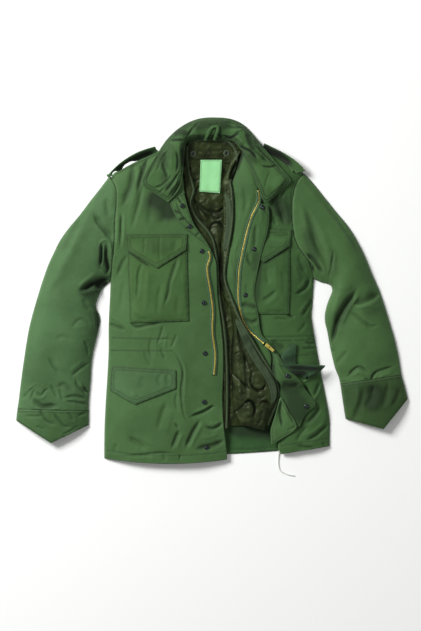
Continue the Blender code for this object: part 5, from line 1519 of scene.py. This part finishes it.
layCloth("collar", "collarCloth", cloths["collar"], collarLook, 41)
layCloth("lower_flap_left", "lowerFlapLeftCloth", cloths["shadeSide"], lowerFlapLeftLook, 42)
layCloth("hem_corner_left", "hemCornerCloth", cloths["sleeveLeft"], hemCornerLook, 43)
layCloth("epaulette_right", "epauletteRightCloth", cloths["sleeveRight"], epauletteRightLook, 44)
layCloth("epaulette_left", "epauletteLeftCloth", cloths["sleeveLeft"], epauletteLeftLook, 45)
layCloth("hanger_loop", "hangerLoopCloth", cloths["collar"], hangerLook, 46)
label = sateen("woven satin label, bare", "#93d094", "#84c487")
layCloth("label", "labelCloth", label, labelLook, 47)
print("collar and trimmings")


zips = {
    "tape": 13.0, "rise": 0.8,
    "pitch": 2.6, "tooth": (2.5, 1.0, 2.0),  # half length, half width, height
    "stop": 1.5,  # the first and last tooth are this much wider
    "rounding": 0.35,  # on the slider and the pull tab
    "right": [(-9, 98), (-5, 82), (-12, 51), (-3, -9), (2, -54), (1, -104), (8, -159), (5, -211)],
    "left": [(115, 250), (116, 222), (95, 174), (79, 110), (69, 59), (66, 22), (66, -24), (75, -69),
             (93, -101), (110, -116), (130, -133)],
}
tapeCloth = sateen("woven zip tape, polyester herringbone", "#38563c", "#2c4732")
brass = metal("solid brass, polished", "#f4e684", 0.44, "#c9b354")
snapMetal = metal("brass snap, black oxide finish", "#4c5554", 0.36, "#1d2324")


def sewTeeth(name, line, tree, node):
    # one row of brass teeth clasped over the edge of the tape, with a stop at each end
    long, wide, high = zips["tooth"]
    spots = evenly(line, zips["pitch"])
    points, faces = [], []
    for i in range(1, len(spots) - 1):
        run = spots[i + 1] - spots[i - 1]
        run /= max(np.linalg.norm(run), 1e-6)
        side = np.array([-run[1], run[0]])
        base = heightOn(tree, *spots[i])
        if base is None:
            continue
        stop = zips["stop"] if i in (1, len(spots) - 2) else 1.0
        start = len(points)
        # each tooth is domed, and its sides slope, so that some of it always faces the light
        for share, level in ((1.0, -0.4), (0.92, 0.45 * high), (0.62, 0.85 * high), (0.2, high)):
            for a, b in ((-1, -1), (-1, 1), (1, 1), (1, -1)):
                spot = spots[i] + side * a * long * share + run * b * wide * share * stop
                points.append((*spot, base + level))
        for level in (0, 4, 8):
            faces += [tuple(start + level + k for k in (j, (j + 1) % 4, (j + 1) % 4 + 4, j + 4))
                      for j in range(4)]
        faces.append(tuple(start + 12 + k for k in range(4)))
    made = makeMesh(name, points, faces, brass, smooth=False)
    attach(made, "jacket")
    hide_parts(node)


for side, rests in (("right", ["frontRightCloth"]), ("left", ["facingCloth", "flyCloth"])):
    title = side.capitalize()
    line = layTape("zipTape" + title, zips[side], zips["tape"], zips["rise"], tapeCloth, rests,
                   "zip_tape_" + side, seed=9)
    sewTeeth("zipTeeth" + title, line, laid["zipTape" + title], "zip_chain_" + side)
print("zips")


snaps = {  # outlines to turn, as radius and height
    "socket": [(0, 0.8), (1.4, 0.8), (1.6, 1.9), (2.4, 2.3), (3.1, 1.9), (3.3, 1.1), (4.6, 0.95),
               (5.4, 1.35), (6, 1.0), (6, -0.5)],
    "stud": [(0, 2.4), (1.3, 2.35), (1.9, 2.0), (1.6, 1.3), (2.5, 1.0), (4.5, 0.9), (5.3, 1.3),
             (6, 1.0), (6, -0.5)],
    "eyelet": [(1.6, -0.3), (1.8, 0.8), (2.6, 1.3), (3.6, 1.3), (4.4, 0.8), (4.5, -0.3)],
    "stitched": [(4.2, -0.2), (4.6, 0.9), (5.6, 1.5), (6.8, 1.4), (7.6, 0.8), (7.9, -0.3)],
    "sides": 28,
    "feet": [(0, 0), (4, 0.5), (4, 2.6), (4, 4.7)],  # radii and angles of the spots it may stand on
}


def turn(name, profile, place, rests, material, node=None):
    # a part turned about an upright axis and set on the cloth
    points = []
    sides = snaps["sides"]
    feet = np.array([[place[0] + r * math.cos(t), place[1] + r * math.sin(t)] for r, t in snaps["feet"]])
    ground = max(heightsOver(rests, feet).tolist())
    for radius, level in profile:
        for k in range(sides):
            angle = 2 * math.pi * k / sides
            points.append((place[0] + radius * math.cos(angle), place[1] + radius * math.sin(angle),
                           ground + level))
    rings = [(i * sides, (i + 1) * sides) for i in range(len(profile) - 1)]
    faces = [(a + k, b + k, b + (k + 1) % sides, a + (k + 1) % sides) for a, b in rings for k in range(sides)]
    made = makeMesh(name, points, faces, material)
    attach(made, "jacket")
    if node:
        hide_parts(node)


stitchedRing = cordage("buttonhole twist", "#4a5640", "#323d2b")
for row, kind, places, rests in (
        ("right", "stud", [(-74, 211), (-55, 159), (-25, 98), (-20, -31), (-17, -157), (-19, -278),
                           (-13, -392)],
         ["frontRightCloth", "lapelCloth"]),
        ("left", "socket", [(125, 207), (105, 103), (84, -12), (188, -213), (235, -289)],
         ["frontLeftCloth", "flyCloth", "facingCloth", "lowerFlapLeftCloth"])):
    for number, place in enumerate(places, 1):
        turn("snap%s%d" % (row.capitalize(), number), snaps[kind], place, rests, snapMetal,
             "snap_%s_%d" % (row, number))
for number, place in enumerate([(-47, 341), (36, 343)], 1):
    turn("neckSnap%d" % number, snaps["eyelet"], place, ["linerBack"], snapMetal, "neck_snap_%d" % number)
    turn("neckStitching%d" % number, snaps["stitched"], place, ["linerBack"], stitchedRing)
print("snaps")

for node in ("zip_slider", "zip_pull"):
    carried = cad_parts[node]
    carried.data.materials.clear()
    carried.data.materials.append(brass)
    bevel = carried.modifiers.new("rounded", "BEVEL")
    bevel.width = zips["rounding"] * mm
    bevel.segments = 3
    bevel.limit_method = "ANGLE"
print("slider")
